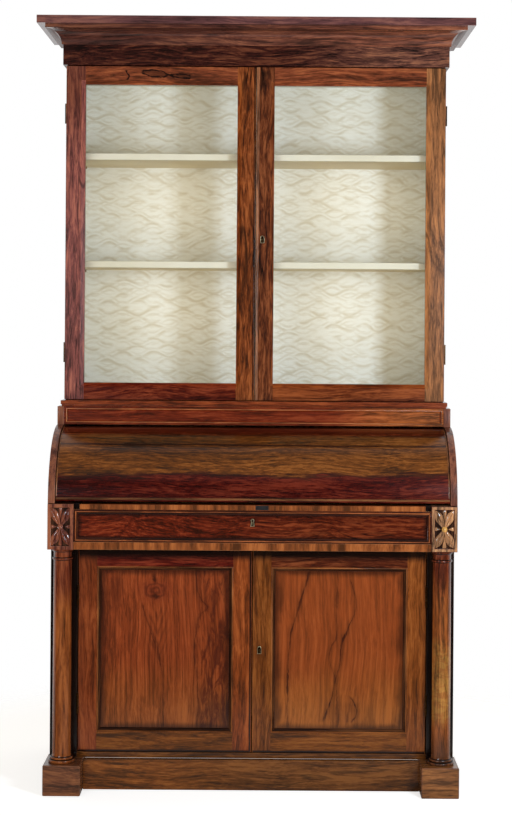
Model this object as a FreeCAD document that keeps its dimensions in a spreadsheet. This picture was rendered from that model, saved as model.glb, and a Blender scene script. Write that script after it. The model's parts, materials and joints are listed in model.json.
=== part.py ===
import FreeCAD, Part
import math
import os
import re
import Sketcher

# Cylinder secretary bookcase in millimetres: +Z up, the front faces -Y,
# the origin is the middle of its footprint on the floor.

SIZES = {
    # case of the desk and cupboard
    "overall_depth": 580,
    "case_width": 1175,
    "board_thick": 20,
    "back_thick": 12,
    # feet and plinth
    "foot_width": 108,
    "foot_depth": 137,
    "foot_height": 88,
    "foot_overhang": 8.5,
    "rear_foot_depth": 90,
    "plinth_setback": 76,
    # cupboard behind the columns
    "cupboard_setback": 97,
    "cupboard_height": 600,
    "fixed_stile_width": 79,
    "floor_thick": 16,
    "cupboard_shelf_rise": 290,
    "cupboard_shelf_thick": 18,
    "cupboard_shelf_setback": 60,
    "housing_depth": 8,
    # turned columns
    "column_inset": 40,
    "column_setback": 54,
    "column_radius": 27,
    "column_neck_radius": 26,
    "base_ring_radius": 39,
    "base_ring_height": 9,
    "shoe_ring_radius": 34,
    "shoe_ring_height": 8,
    "neck_ring_radius": 30,
    "neck_ring_height": 7,
    "neck_height": 26,
    "cap_ring_radius": 31,
    "cap_ring_height": 9,
    "ring_roundness": 0.6,
    # drawer, its bed and the corner blocks
    "corner_width": 74.5,
    "corner_setback": 9,
    "corner_field_margin": 10,
    "corner_field_depth": 6,
    "bed_thick": 22,
    "bed_setback": 14,
    "drawer_height": 93,
    "drawer_setback": 12,
    "drawer_front_thick": 22,
    "drawer_lip_thick": 11,
    "drawer_gap": 1.5,
    "drawer_frame": 7,
    "drawer_recess": 6,
    "drawer_side_thick": 12,
    "drawer_depth": 440,
    "drawer_bottom_thick": 6,
    "drawer_bottom_rise": 8,
    # writing slide
    "slide_thick": 15.5,
    "slide_setback": 13,
    "bearer_width": 16,
    "slide_depth": 340,
    "slide_gap": 0.5,
    "slide_bed_thick": 12,
    "bearer_gap": 1.5,
    "bearer_setback": 30,
    "leather_thick": 1.5,
    "leather_margin": 45,
    "lock_plate_width": 37,
    "lock_plate_offset": 27,
    "lock_plate_thick": 2,
    "lock_plate_border": 1,
    # cylinder and the case sides that carry it
    "side_setback": 14,
    "side_radius": 212,
    "axis_rise": 3.5,
    "shell_radius": 206,
    "shell_thick": 16,
    "shell_gap": 2,
    "shell_overlap": 12,
    "nose_rise": 4,
    "nose_height": 14,
    "nose_depth": 20,
    "nose_radius": 9,
    "arm_thick": 6,
    "arm_inset": 6,
    "arm_width": 20,
    "hub_radius": 15,
    "pivot_radius": 6,
    "pivot_depth": 12,
    # frieze and moulded top of the desk case
    "frieze_height": 54,
    "frieze_thick": 18,
    "frieze_setback": 3,
    "frieze_frame": 9,
    "frieze_recess": 3,
    "case_top_thick": 18,
    "case_top_inset": 10.5,
    "case_top_nosing": 9,
    "case_top_bead": 6,
    "case_top_step": 3,
    # pigeonholes
    "pigeonhole_setback": 12,
    "pigeonhole_depth": 128,
    "pigeonhole_height": 112,
    "pigeonhole_board": 7,
    "pigeonhole_count": 8,
    # bookcase
    "bookcase_inset": 18.5,
    "bookcase_height": 1003,
    "bookcase_board": 18,
    "glazed_setback": 240,
    "door_seat_gap": 1,
    "lining_thick": 1,
    "shelf_thick": 20,
    "shelf_setback": 28,
    "shelf_end_gap": 0.5,
    "lower_shelf_rise": 399,
    "upper_shelf_rise": 725,
    "peg_radius": 4,
    "peg_length": 26,
    "peg_setback": 45,
    # glazed doors
    "glazed_door_thick": 22,
    "glazed_hinge_stile": 58,
    "glazed_meeting_stile": 54,
    "glazed_top_rail": 54,
    "glazed_bottom_rail": 50,
    "glazed_bevel_width": 12,
    "glazed_bevel_depth": 6,
    "door_gap": 3,
    "door_clearance": 2.5,
    "rebate_width": 8,
    "glass_setback": 10,
    "glass_thick": 3,
    "glass_gap": 0.5,
    "tenon_length": 30,
    "tenon_thick": 8,
    "tenon_shoulder": 12,
    "astragal_width": 9,
    "astragal_lip": 1.5,
    "astragal_radius": 5,
    # cupboard doors
    "cupboard_door_thick": 22,
    "cupboard_stile": 54,
    "cupboard_rail": 56,
    "panel_setback": 10,
    "panel_thick": 8,
    "panel_gap": 0.5,
    "panel_moulding_width": 12,
    "panel_moulding_depth": 9,
    # hinges
    "hinge_length": 60,
    "hinge_leaf_width": 16,
    "hinge_leaf_thick": 2,
    "hinge_radius": 2.8,
    "hinge_pin_radius": 1.4,
    "hinge_stand_off": 0.5,
    "hinge_from_end": 140,
    "knuckle_gap": 0.3,
    "running_gap": 0.05,
    # locks
    "lock_height": 50,
    "lock_width": 32,
    "lock_thick": 10,
    "bolt_height": 18,
    "bolt_thick": 5,
    "bolt_length": 20,
    "bolt_gap": 0.2,
    "bolt_rest": 0.5,
    "strike_depth": 10,
    "key_backset": 20,
    "glazed_lock_rise": 485,
    "cupboard_lock_rise": 300,
    "drawer_lock_width": 50,
    "drawer_lock_height": 42,
    "drawer_key_drop": 35,
    "escutcheon_width": 12,
    "escutcheon_height": 22,
    "escutcheon_thick": 1,
    "keyhole_radius": 2.4,
    "keyhole_slot": 2.6,
    "keyhole_drop": 7,
    # cornice, each projection measured from the bookcase face
    "cornice_back": 40,
    "cornice_frieze_height": 60,
    "cornice_frieze_out": 9,
    "cornice_step_out": 4.5,
    "cornice_step_height": 3,
    "cavetto_radius": 41,
    "fillet_out": 3,
    "fillet_height": 10,
    "slab_thick": 23,
    "slab_out": 80,
}

doc = FreeCAD.newDocument("secretary_bookcase")
sheet = doc.addObject("Spreadsheet::Sheet", "Sizes")
for row, (size_name, size) in enumerate(SIZES.items(), start=1):
    sheet.set(f"A{row}", size_name)
    sheet.set(f"B{row}", str(size))
    sheet.setAlias(f"B{row}", size_name)
doc.recompute()

nodes = []


# Expressions and placing

def bound(text):
    """The expression with every size name looked up in the sheet."""
    return re.sub(r"[a-z_]+[a-z0-9_]*", lambda m: f"Sizes.{m[0]}" if m[0] in SIZES else m[0], str(text))


def value(text):
    return float(sheet.evalExpression(bound(text)))


def bind(item, name, text):
    item.setExpression(name, bound(text))


def place(item, x, y, z):
    bind(item, ".Placement.Base.x", x)
    bind(item, ".Placement.Base.y", y)
    bind(item, ".Placement.Base.z", z)


def behind(depth):
    """Y of a point this far behind the front of the feet."""
    return f"(-overall_depth / 2 + {depth})"


def across(side, low, high):
    """X range on one side of the middle: side is -1 for left, 1 for right."""
    if side > 0:
        return (low, high)
    return (f"-({high})", f"-({low})")


def both_ways(half):
    return (f"-({half})", half)


def node(name, *items):
    """Name one sub-part: a single piece, or separate solids that share one name."""
    if len(items) == 1:
        piece = items[0]
    else:
        piece = doc.addObject("Part::Compound", name)
        piece.Links = list(items)
    piece.Label = name
    nodes.append(piece)


# Pieces

def box(name, x, y, z):
    """A board between two planes each way."""
    item = doc.addObject("Part::Box", name)
    for size, (low, high) in (("Length", x), ("Width", y), ("Height", z)):
        bind(item, size, f"{high} - ({low})")
    place(item, x[0], y[0], z[0])
    return item


def rod(name, along, x, y, z, radius):
    """A round bar: the coordinate named by along is a range, the other two are its axis."""
    item = doc.addObject("Part::Cylinder", name)
    turn = {
        "x": FreeCAD.Rotation(FreeCAD.Vector(0, 1, 0), 90),
        "y": FreeCAD.Rotation(FreeCAD.Vector(1, 0, 0), -90),
        "z": FreeCAD.Rotation(),
    }[along]
    item.Placement = FreeCAD.Placement(FreeCAD.Vector(), turn)
    low, high = {"x": x, "y": y, "z": z}[along]
    bind(item, "Radius", radius)
    bind(item, "Height", f"{high} - ({low})")
    start = [low if axis == along else centre for axis, centre in (("x", x), ("y", y), ("z", z))]
    place(item, *start)
    return item


def tapered(name, x, y, z, taper):
    """A block whose back face is smaller than its front face by the taper on every edge."""
    item = doc.addObject("Part::Wedge", name)
    for axis, (low, high) in (("X", x), ("Y", y), ("Z", z)):
        bind(item, f"{axis}min", low)
        bind(item, f"{axis}max", high)
    for axis, (low, high) in (("X2", x), ("Z2", z)):
        bind(item, f"{axis}min", f"{low} + {taper}")
        bind(item, f"{axis}max", f"{high} - ({taper})")
    return item


def joined(name, *items):
    item = doc.addObject("Part::MultiFuse", name)
    item.Shapes = list(items)
    return item


def cut(name, base, *tools):
    item = doc.addObject("Part::Cut", name)
    item.Base = base
    item.Tool = tools[0] if len(tools) == 1 else joined(f"{name}_tools", *tools)
    return item


def outline(body, plane, corners):
    """A closed sketch on a body's own plane. Each corner is (across, up), or
    (across, up, radius, turn) where an arc runs to the next corner: turn 1 is anticlockwise."""
    sketch = body.newObject("Sketcher::SketchObject", f"{body.Name}_outline")
    support = next(item for item in body.Origin.OriginFeatures if item.Role == plane)
    sketch.AttachmentSupport = [(support, "")]
    sketch.MapMode = "FlatFace"
    points = [FreeCAD.Vector(value(corner[0]), value(corner[1]), 0) for corner in corners]
    starts = []
    for index, corner in enumerate(corners):
        here = points[index]
        there = points[(index + 1) % len(points)]
        if len(corner) == 2:
            sketch.addGeometry(Part.LineSegment(here, there), False)
            starts.append((1, 2))
            continue
        turn = corner[3]
        sketch.addGeometry(arc_between(here, there, value(corner[2]), turn), False)
        starts.append((1, 2) if turn > 0 else (2, 1))
    for index, corner in enumerate(corners):
        after = (index + 1) % len(corners)
        sketch.addConstraint(
            Sketcher.Constraint("Coincident", index, starts[index][1], after, starts[after][0]))
    for index, corner in enumerate(corners):
        for kind, text in (("DistanceX", corner[0]), ("DistanceY", corner[1])):
            rule = Sketcher.Constraint(kind, -1, 1, index, starts[index][0], value(text))
            bind(sketch, f"Constraints[{sketch.addConstraint(rule)}]", text)
        if len(corner) == 4:
            rule = Sketcher.Constraint("Radius", index, value(corner[2]))
            bind(sketch, f"Constraints[{sketch.addConstraint(rule)}]", corner[2])
    doc.recompute()
    return sketch


def arc_between(here, there, radius, turn):
    chord = there - here
    middle = (here + there) * 0.5
    rise = math.sqrt(max(radius ** 2 - (chord.Length / 2) ** 2, 0))
    left = FreeCAD.Vector(-chord.y, chord.x, 0).normalize()
    centre = middle + left * rise * turn
    angles = [math.atan2(point.y - centre.y, point.x - centre.x) for point in (here, there)]
    if turn < 0:
        angles.reverse()
    return Part.ArcOfCircle(Part.Circle(centre, FreeCAD.Vector(0, 0, 1), radius), *angles)


def moulded(name, plane, corners, length, x, y, z):
    """A length of one cross-section."""
    body = doc.addObject("PartDesign::Body", name)
    sketch = outline(body, plane, corners)
    pad = body.newObject("PartDesign::Pad", f"{name}_length")
    pad.Profile = sketch
    bind(pad, "Length", length)
    place(body, x, y, z)
    return body


def turned(name, corners, x, y, z):
    """A turned piece: corners are (radius, height) from its foot."""
    body = doc.addObject("PartDesign::Body", name)
    sketch = outline(body, "XZ_Plane", corners)
    spin = body.newObject("PartDesign::Revolution", f"{name}_turning")
    spin.Profile = sketch
    spin.ReferenceAxis = (sketch, ["V_Axis"])
    place(body, x, y, z)
    return body


# Levels and planes shared by several pieces

half_case = "case_width / 2"
inner_case = "(case_width / 2 - board_thick)"
back_face = "overall_depth / 2"
back_inside = "(overall_depth / 2 - back_thick)"
half_cupboard = "(case_width / 2 - fixed_stile_width)"
half_drawer = "(case_width / 2 - corner_width)"
half_slide = "(case_width / 2 - corner_width - bearer_width - bearer_gap)"

floor_top = "(foot_height + floor_thick)"
bed_low = "(foot_height + floor_thick + cupboard_height)"
drawer_low = f"({bed_low} + bed_thick)"
slide_low = f"({drawer_low} + drawer_height)"
slide_top = f"({slide_low} + slide_thick)"
slide_bed_low = f"({slide_low} - slide_bed_thick)"
axis_level = f"({slide_top} + axis_rise)"
axis_depth = behind("side_setback + side_radius")
frieze_low = f"({axis_level} + side_radius)"
case_top_low = f"({frieze_low} + frieze_height)"
bookcase_low = f"({case_top_low} + case_top_thick)"
bookcase_top = f"({bookcase_low} + bookcase_height)"

cupboard_front = behind("cupboard_setback")
stile_back = behind("cupboard_setback + cupboard_door_thick")
door_face = behind("glazed_setback")
door_back = behind("glazed_setback + glazed_door_thick")
carcass_front = behind("glazed_setback + glazed_door_thick + door_seat_gap")
half_bookcase = "(case_width / 2 - bookcase_inset)"
inner_bookcase = "(case_width / 2 - bookcase_inset - board_thick)"


# Hinges: a case leaf with its pin and a door leaf that turns on it

def hinge_thirds(low):
    step = "hinge_length / 3"
    return [(f"{low} + {step} * {n}", f"{low} + {step} * {n + 1}") for n in range(3)]


def hinge(name, leaf_x, leaf_y, mate_x, mate_y, tab_x, tab_y, mate_tab_x, mate_tab_y, pin_x, pin_y, low):
    """One butt hinge: returns the case leaf with its pin, and the door leaf."""
    whole = (low, f"{low} + hinge_length")
    bottom, middle, top = hinge_thirds(low)
    case_parts = [box(f"{name}_case_plate", leaf_x, leaf_y, whole)]
    for place_name, third in (("low", bottom), ("high", top)):
        case_parts.append(box(f"{name}_{place_name}_tab", tab_x, tab_y, third))
        case_parts.append(rod(f"{name}_{place_name}_knuckle", "z", pin_x, pin_y, third, "hinge_radius"))
    case_parts.append(rod(f"{name}_pin", "z", pin_x, pin_y, whole, "hinge_pin_radius"))
    case_leaf = joined(f"{name}_case_leaf", *case_parts)
    inside = (f"{middle[0]} + knuckle_gap", f"{middle[1]} - knuckle_gap")
    door_leaf = cut(
        f"{name}_door_leaf",
        joined(
            f"{name}_door_blank",
            box(f"{name}_door_plate", mate_x, mate_y, whole),
            box(f"{name}_door_tab", mate_tab_x, mate_tab_y, inside),
            rod(f"{name}_door_knuckle", "z", pin_x, pin_y, inside, "hinge_radius"),
        ),
        rod(f"{name}_bore", "z", pin_x, pin_y, inside, "hinge_pin_radius + running_gap"),
    )
    return case_leaf, door_leaf


def hinge_levels(low, high):
    return (f"{low} + hinge_from_end - hinge_length / 2", f"{high} - hinge_from_end - hinge_length / 2")


def glazed_hinge(name, side, low):
    """A butt hinge between the back of an overlaid door and the front edge of the bookcase side."""
    leaf = across(side, f"{half_bookcase} - hinge_leaf_width", half_bookcase)
    pin = f"{side} * ({half_bookcase} + hinge_radius + hinge_stand_off)"
    tab = across(side, half_bookcase, f"{half_bookcase} + hinge_radius + hinge_stand_off")
    case_y = (carcass_front, f"{carcass_front} + hinge_leaf_thick")
    door_y = (f"{door_back} - hinge_leaf_thick", door_back)
    pin_y = f"({door_back} + door_seat_gap / 2)"
    return hinge(name, leaf, case_y, leaf, door_y, tab, case_y, tab, door_y, pin, pin_y, low)


def cupboard_hinge(name, side, low):
    """A butt hinge in the joint between an inset door and the fixed stile."""
    case_x = across(side, half_cupboard, f"{half_cupboard} + hinge_leaf_thick")
    door_edge = f"({half_cupboard} - door_clearance)"
    door_x = across(side, f"{door_edge} - hinge_leaf_thick", door_edge)
    leaf_y = (cupboard_front, f"{cupboard_front} + hinge_leaf_width")
    pin_y = f"({cupboard_front} - hinge_radius - hinge_stand_off)"
    tab_y = (pin_y, cupboard_front)
    pin = f"{side} * ({half_cupboard} - door_clearance / 2)"
    return hinge(name, case_x, leaf_y, door_x, leaf_y, case_x, tab_y, door_x, tab_y, pin, pin_y, low)


def glazed_hinge_mortise(name, side, y, low):
    x = across(side, f"{half_bookcase} - hinge_leaf_width", half_bookcase)
    return box(name, x, y, (low, f"{low} + hinge_length"))


def cupboard_hinge_mortise(name, side, edge, outward, low):
    inside, outside = edge, f"{edge} + hinge_leaf_thick"
    if not outward:
        inside, outside = f"{edge} - hinge_leaf_thick", edge
    leaf_y = (cupboard_front, f"{cupboard_front} + hinge_leaf_width")
    return box(name, across(side, inside, outside), leaf_y, (low, f"{low} + hinge_length"))


# Locks: a case let into the stile, a shooting bolt and a keyhole escutcheon

def keyhole(name, x, y, level):
    return joined(
        name,
        rod(f"{name}_round", "y", x, y, level, "keyhole_radius"),
        box(f"{name}_slot", (f"{x} - keyhole_slot / 2", f"{x} + keyhole_slot / 2"), y,
            (f"{level} - keyhole_drop", level)),
    )


def escutcheon(name, x, face, level):
    """A brass plate on the face: round at the top, straight below, pierced for the key."""
    y = (f"{face} - escutcheon_thick", face)
    crown = f"{level} + escutcheon_height / 2 - escutcheon_width / 2"
    blank = joined(
        f"{name}_blank",
        rod(f"{name}_crown", "y", x, y, crown, "escutcheon_width / 2"),
        box(f"{name}_plate", (f"{x} - escutcheon_width / 2", f"{x} + escutcheon_width / 2"), y,
            (f"{level} - escutcheon_height / 2", crown)),
    )
    return cut(name, blank, keyhole(f"{name}_keyhole", x, y, level))


def door_lock(name, face, thick, level):
    """Lock of a right-hand door at its meeting edge. Returns the lock case, the bolt, the
    escutcheon, and the tools that cut its seat, its keyhole and the strike in the other door."""
    edge = "door_gap / 2"
    middle = f"({face} + {thick} / 2)"
    case_y = (f"{middle} - lock_thick / 2", f"{middle} + lock_thick / 2")
    case_x = (edge, f"{edge} + lock_width")
    case_z = (f"{level} - lock_height / 2", f"{level} + lock_height / 2")
    bolt_y = (f"{middle} - bolt_thick / 2", f"{middle} + bolt_thick / 2")
    bolt_z = (f"{level} - bolt_height / 2", f"{level} + bolt_height / 2")
    loose_y = (f"{bolt_y[0]} - bolt_gap", f"{bolt_y[1]} + bolt_gap")
    loose_z = (f"{bolt_z[0]} - bolt_gap", f"{bolt_z[1]} + bolt_gap")
    case = cut(
        f"{name}_case",
        box(f"{name}_case_blank", case_x, case_y, case_z),
        box(f"{name}_bolt_way", (edge, f"{edge} + bolt_rest + bolt_length + bolt_gap"), loose_y, loose_z),
    )
    bolt_x = (f"{edge} + bolt_rest", f"{edge} + bolt_rest + bolt_length")
    bolt = box(f"{name}_bolt_bar", bolt_x, bolt_y, bolt_z)
    key_x = f"({edge} + key_backset)"
    plate = escutcheon(f"{name}_escutcheon", key_x, face, level)
    seat = box(f"{name}_seat", case_x, case_y, case_z)
    key_way = keyhole(f"{name}_key_way", key_x, (face, case_y[0]), level)
    strike = box(f"{name}_strike", (f"-({edge}) - strike_depth", f"-({edge})"), loose_y, loose_z)
    return case, bolt, plate, [seat, key_way], strike


# Framed doors: two stiles, two rails tenoned into them

def door_frame(name, side, edge, widths, rails, face, thick, levels, shared, hinge_cuts, meeting_cuts):
    """Stiles and rails of one door. The shared tools run round the opening of all four."""
    hinge_width, meeting_width = widths
    top_rail, bottom_rail = rails
    low, high = levels
    y = (face, f"{face} + {thick}")
    meeting_edge = "door_gap / 2"
    hinge_inside = f"({edge} - {hinge_width})"
    meeting_inside = f"({meeting_edge} + {meeting_width})"
    tenon_y = (f"{face} + {thick} / 2 - tenon_thick / 2", f"{face} + {thick} / 2 + tenon_thick / 2")
    tenon_x = across(side, f"{meeting_inside} - tenon_length", f"{hinge_inside} + tenon_length")
    tenon_z = {
        "top": (f"{high} - {top_rail} + tenon_shoulder", f"{high} - tenon_shoulder"),
        "bottom": (f"{low} + tenon_shoulder", f"{low} + {bottom_rail} - tenon_shoulder"),
    }
    mortises = [box(f"{name}_{end}_mortise", tenon_x, tenon_y, tenon_z[end]) for end in tenon_z]
    hinge_stile = cut(
        f"{name}_hinge_stile",
        box(f"{name}_hinge_stile_blank", across(side, hinge_inside, edge), y, (low, high)),
        *mortises, *shared, *hinge_cuts,
    )
    meeting_stile = cut(
        f"{name}_meeting_stile",
        box(f"{name}_meeting_stile_blank", across(side, meeting_edge, meeting_inside), y, (low, high)),
        *mortises, *shared, *meeting_cuts,
    )
    rail_z = {"top": (f"{high} - {top_rail}", high), "bottom": (low, f"{low} + {bottom_rail}")}
    rail_x = across(side, meeting_inside, hinge_inside)
    frame_rails = []
    for end in ("top", "bottom"):
        blank = joined(
            f"{name}_{end}_rail_blank",
            box(f"{name}_{end}_rail_bar", rail_x, y, rail_z[end]),
            box(f"{name}_{end}_tenons", tenon_x, tenon_y, tenon_z[end]),
        )
        frame_rails.append(cut(f"{name}_{end}_rail", blank, *shared))
    node(f"{name}_stiles", hinge_stile, meeting_stile)
    node(f"{name}_rails", *frame_rails)


def grown(span, amount):
    return (f"{span[0]} - ({amount})", f"{span[1]} + {amount}")


# Cornice

cornice_out = "(cornice_frieze_out + cornice_step_out + cavetto_radius + fillet_out)"
cornice_height = "(cornice_frieze_height + cornice_step_height + cavetto_radius + fillet_height)"


def cornice_section(side):
    """Cross-section of the cornice: outward is the side's sign, heights from the bookcase top."""
    step = "cornice_frieze_out + cornice_step_out"
    hollow_low = "cornice_frieze_height + cornice_step_height"
    corners = [
        ("-cornice_back", "0"),
        ("cornice_frieze_out", "0"),
        ("cornice_frieze_out", "cornice_frieze_height"),
        (step, "cornice_frieze_height"),
        (step, hollow_low, "cavetto_radius", -side),
        (f"{step} + cavetto_radius", f"{hollow_low} + cavetto_radius"),
        (cornice_out, f"{hollow_low} + cavetto_radius"),
        (cornice_out, cornice_height),
        ("-cornice_back", cornice_height),
    ]
    return [(f"{side} * ({corner[0]})", *corner[1:]) for corner in corners]


def mitre(name, side, keeps_front):
    """A block that trims one cornice length along the mitre at a front corner."""
    item = doc.addObject("Part::Box", name)
    reach = f"({cornice_out} + cornice_back)"
    bind(item, "Length", f"{reach} * 4")
    bind(item, "Width", f"{reach} * 2")
    bind(item, "Height", cornice_height)
    turn = FreeCAD.Rotation(FreeCAD.Vector(0, 0, 1), -45 * side)
    item.Placement = FreeCAD.Placement(FreeCAD.Vector(), turn)
    shift = "0" if keeps_front else f"{reach} * sqrt(2)"
    x = f"{side} * ({half_bookcase}) - ({reach}) - {side} * {shift}"
    y = f"{door_face} + {side} * {reach} - {shift}"
    place(item, x, y, bookcase_top)
    return item


def cornice():
    reach = f"({half_bookcase} + {cornice_out})"
    front_section = cornice_section(-1)
    front = cut(
        "cornice_front",
        moulded("cornice_front_run", "YZ_Plane", front_section, f"2 * {reach}",
                f"-{reach}", door_face, bookcase_top),
        mitre("front_left_mitre", -1, True),
        mitre("front_right_mitre", 1, True),
    )
    returns = []
    for side, word in ((-1, "left"), (1, "right")):
        run = moulded(f"cornice_{word}_run", "XZ_Plane", cornice_section(side),
                      f"{back_face} - {door_face} + {cornice_out}",
                      f"{side} * ({half_bookcase})", back_face, bookcase_top)
        returns.append(cut(f"cornice_{word}_return", run, mitre(f"{word}_return_mitre", side, False)))
    node("cornice_moulding", front, *returns)
    slab_low = f"({bookcase_top} + {cornice_height})"
    node("cornice_top_board", box(
        "cornice_slab",
        both_ways(f"({half_bookcase} + slab_out)"),
        (f"{door_face} - slab_out", back_face),
        (slab_low, f"{slab_low} + slab_thick"),
    ))


# Bookcase carcass

shelf_levels = {
    "lower": f"({bookcase_low} + lower_shelf_rise)",
    "upper": f"({bookcase_low} + upper_shelf_rise)",
}
glazed_levels = (f"({bookcase_low} + door_clearance)", f"({bookcase_top} - door_clearance)")


def shelf_pegs(word, side, suffix):
    """The four pegs of one side: half in the bookcase side, half under the shelves."""
    pegs = []
    for shelf, level in shelf_levels.items():
        for end, y in (("front", f"{carcass_front} + peg_setback"), ("back", f"{back_inside} - peg_setback")):
            x = across(side, f"{inner_bookcase} - peg_length / 2", f"{inner_bookcase} + peg_length / 2")
            name = f"{word}_{shelf}_{end}_peg{suffix}"
            pegs.append(rod(name, "x", x, y, f"{level} - peg_radius", "peg_radius"))
    return pegs


def bookcase():
    sides = []
    pegs = []
    for side, word in ((-1, "left"), (1, "right")):
        seats = [
            glazed_hinge_mortise(f"{word}_bookcase_mortise_{n}", side,
                                 (carcass_front, f"{carcass_front} + hinge_leaf_thick"), low)
            for n, low in enumerate(hinge_levels(*glazed_levels))
        ]
        blank = box(f"{word}_bookcase_blank", across(side, inner_bookcase, half_bookcase),
                    (carcass_front, back_face), (bookcase_low, bookcase_top))
        sides.append(cut(f"{word}_bookcase_side", blank, *seats, *shelf_pegs(word, side, "_hole")))
        pegs.extend(shelf_pegs(word, side, ""))
    node("bookcase_sides", *sides)
    node("shelf_pegs", *pegs)
    width = both_ways(inner_bookcase)
    inside_low = f"({bookcase_low} + bookcase_board)"
    inside_high = f"({bookcase_top} - bookcase_board)"
    depth = (carcass_front, back_face)
    inside_z = (inside_low, inside_high)
    node("bookcase_bottom_board", box("bookcase_bottom", width, depth, (bookcase_low, inside_low)))
    node("bookcase_top_board", box("bookcase_ceiling", width, depth, (inside_high, bookcase_top)))
    node("bookcase_back_panel", box("bookcase_back", width, (back_inside, back_face), inside_z))
    lining_y = (f"{back_inside} - lining_thick", back_inside)
    node("bookcase_lining", box("lining_sheet", width, lining_y, inside_z))
    node("bookcase_shelves", *[
        box(f"{shelf}_shelf", both_ways(f"({inner_bookcase} - shelf_end_gap)"),
            (f"{carcass_front} + shelf_setback", f"{back_inside} - lining_thick - shelf_end_gap"),
            (level, f"{level} + shelf_thick"))
        for shelf, level in shelf_levels.items()
    ])


# Glazed doors

def glazed_door(name, side, meeting_cuts):
    low, high = glazed_levels
    sight_x = across(side, "door_gap / 2 + glazed_meeting_stile", f"{half_bookcase} - glazed_hinge_stile")
    sight_z = (f"{low} + glazed_bottom_rail", f"{high} - glazed_top_rail")
    glass_front = f"({door_face} + glass_setback)"
    glass_back = f"({door_face} + glass_setback + glass_thick)"
    rebate = box(f"{name}_rebate", grown(sight_x, "rebate_width"), (glass_front, door_back),
                 grown(sight_z, "rebate_width"))
    bevel = tapered(f"{name}_bevel", grown(sight_x, "glazed_bevel_width"),
                    (door_face, f"{door_face} + glazed_bevel_depth"),
                    grown(sight_z, "glazed_bevel_width"), "glazed_bevel_width")
    levels = hinge_levels(low, high)
    seat_y = (f"{door_back} - hinge_leaf_thick", door_back)
    hinge_cuts = [
        glazed_hinge_mortise(f"{name}_leaf_seat_{n}", side, seat_y, level)
        for n, level in enumerate(levels)
    ]
    door_frame(name, side, half_bookcase, ("glazed_hinge_stile", "glazed_meeting_stile"),
               ("glazed_top_rail", "glazed_bottom_rail"), door_face, "glazed_door_thick",
               glazed_levels, [rebate, bevel], hinge_cuts, meeting_cuts)
    slack = "rebate_width - glass_gap"
    node(f"{name}_pane", box(f"{name}_glass", grown(sight_x, slack), (glass_front, glass_back),
                             grown(sight_z, slack)))
    bead_y = (glass_back, door_back)
    wide_x = grown(sight_x, "rebate_width")
    tall_z = grown(sight_z, "rebate_width")
    node(
        f"{name}_glazing_beads",
        box(f"{name}_bead_low", wide_x, bead_y, (tall_z[0], sight_z[0])),
        box(f"{name}_bead_high", wide_x, bead_y, (sight_z[1], tall_z[1])),
        box(f"{name}_bead_left", (wide_x[0], sight_x[0]), bead_y, sight_z),
        box(f"{name}_bead_right", (sight_x[1], wide_x[1]), bead_y, sight_z),
    )
    pairs = [glazed_hinge(f"{name}_hinge_{n}", side, level) for n, level in enumerate(levels)]
    node(f"{name}_hinge_leaves", *[pair[1] for pair in pairs])
    return [pair[0] for pair in pairs]


def glazed_doors():
    level = f"({bookcase_low} + glazed_lock_rise)"
    case, bolt, plate, seats, strike = door_lock("glazed_lock", door_face, "glazed_door_thick", level)
    leaves = glazed_door("left_glazed_door", -1, [strike])
    leaves += glazed_door("right_glazed_door", 1, seats)
    node("glazed_door_lock", case, plate)
    node("glazed_door_bolt", bolt)
    edge = "door_gap / 2"
    corners = [
        (edge, "0"),
        (edge, "-astragal_lip", "astragal_radius", 1),
        (f"{edge} + astragal_width", "-astragal_lip"),
        (f"{edge} + astragal_width", "0"),
    ]
    low, high = glazed_levels
    node("meeting_astragal", moulded("astragal_run", "XY_Plane", corners, f"{high} - ({low})",
                                     "0", door_face, low))
    return leaves


# Desk: case sides, top, frieze, beds and corner blocks

shelf_low = f"({floor_top} + cupboard_shelf_rise)"


def case_sides():
    corners = [
        (stile_back, "foot_height"),
        (stile_back, bed_low),
        (cupboard_front, bed_low),
        (cupboard_front, slide_top),
        (behind("side_setback"), slide_top),
        (behind("side_setback"), axis_level, "side_radius", -1),
        (axis_depth, frieze_low),
        (axis_depth, case_top_low),
        (back_face, case_top_low),
        (back_face, "foot_height"),
    ]
    sides = []
    for side, word in ((-1, "left"), (1, "right")):
        start = across(side, inner_case, half_case)[0]
        board = moulded(f"{word}_case_board", "YZ_Plane", corners, "board_thick", start, "0", "0")
        bore = rod(f"{word}_pivot_bore", "x", across(side, inner_case, f"{inner_case} + pivot_depth"),
                   axis_depth, axis_level, "pivot_radius + running_gap")
        housing = box(f"{word}_shelf_housing", across(side, inner_case, f"{inner_case} + housing_depth"),
                      (f"{stile_back} + cupboard_shelf_setback", back_inside),
                      (shelf_low, f"{shelf_low} + cupboard_shelf_thick"))
        sides.append(cut(f"{word}_case_side", board, bore, housing))
    node("case_sides", *sides)
    node("case_back_panel", box("case_back", both_ways(inner_case), (back_inside, back_face),
                                ("foot_height", case_top_low)))


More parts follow.
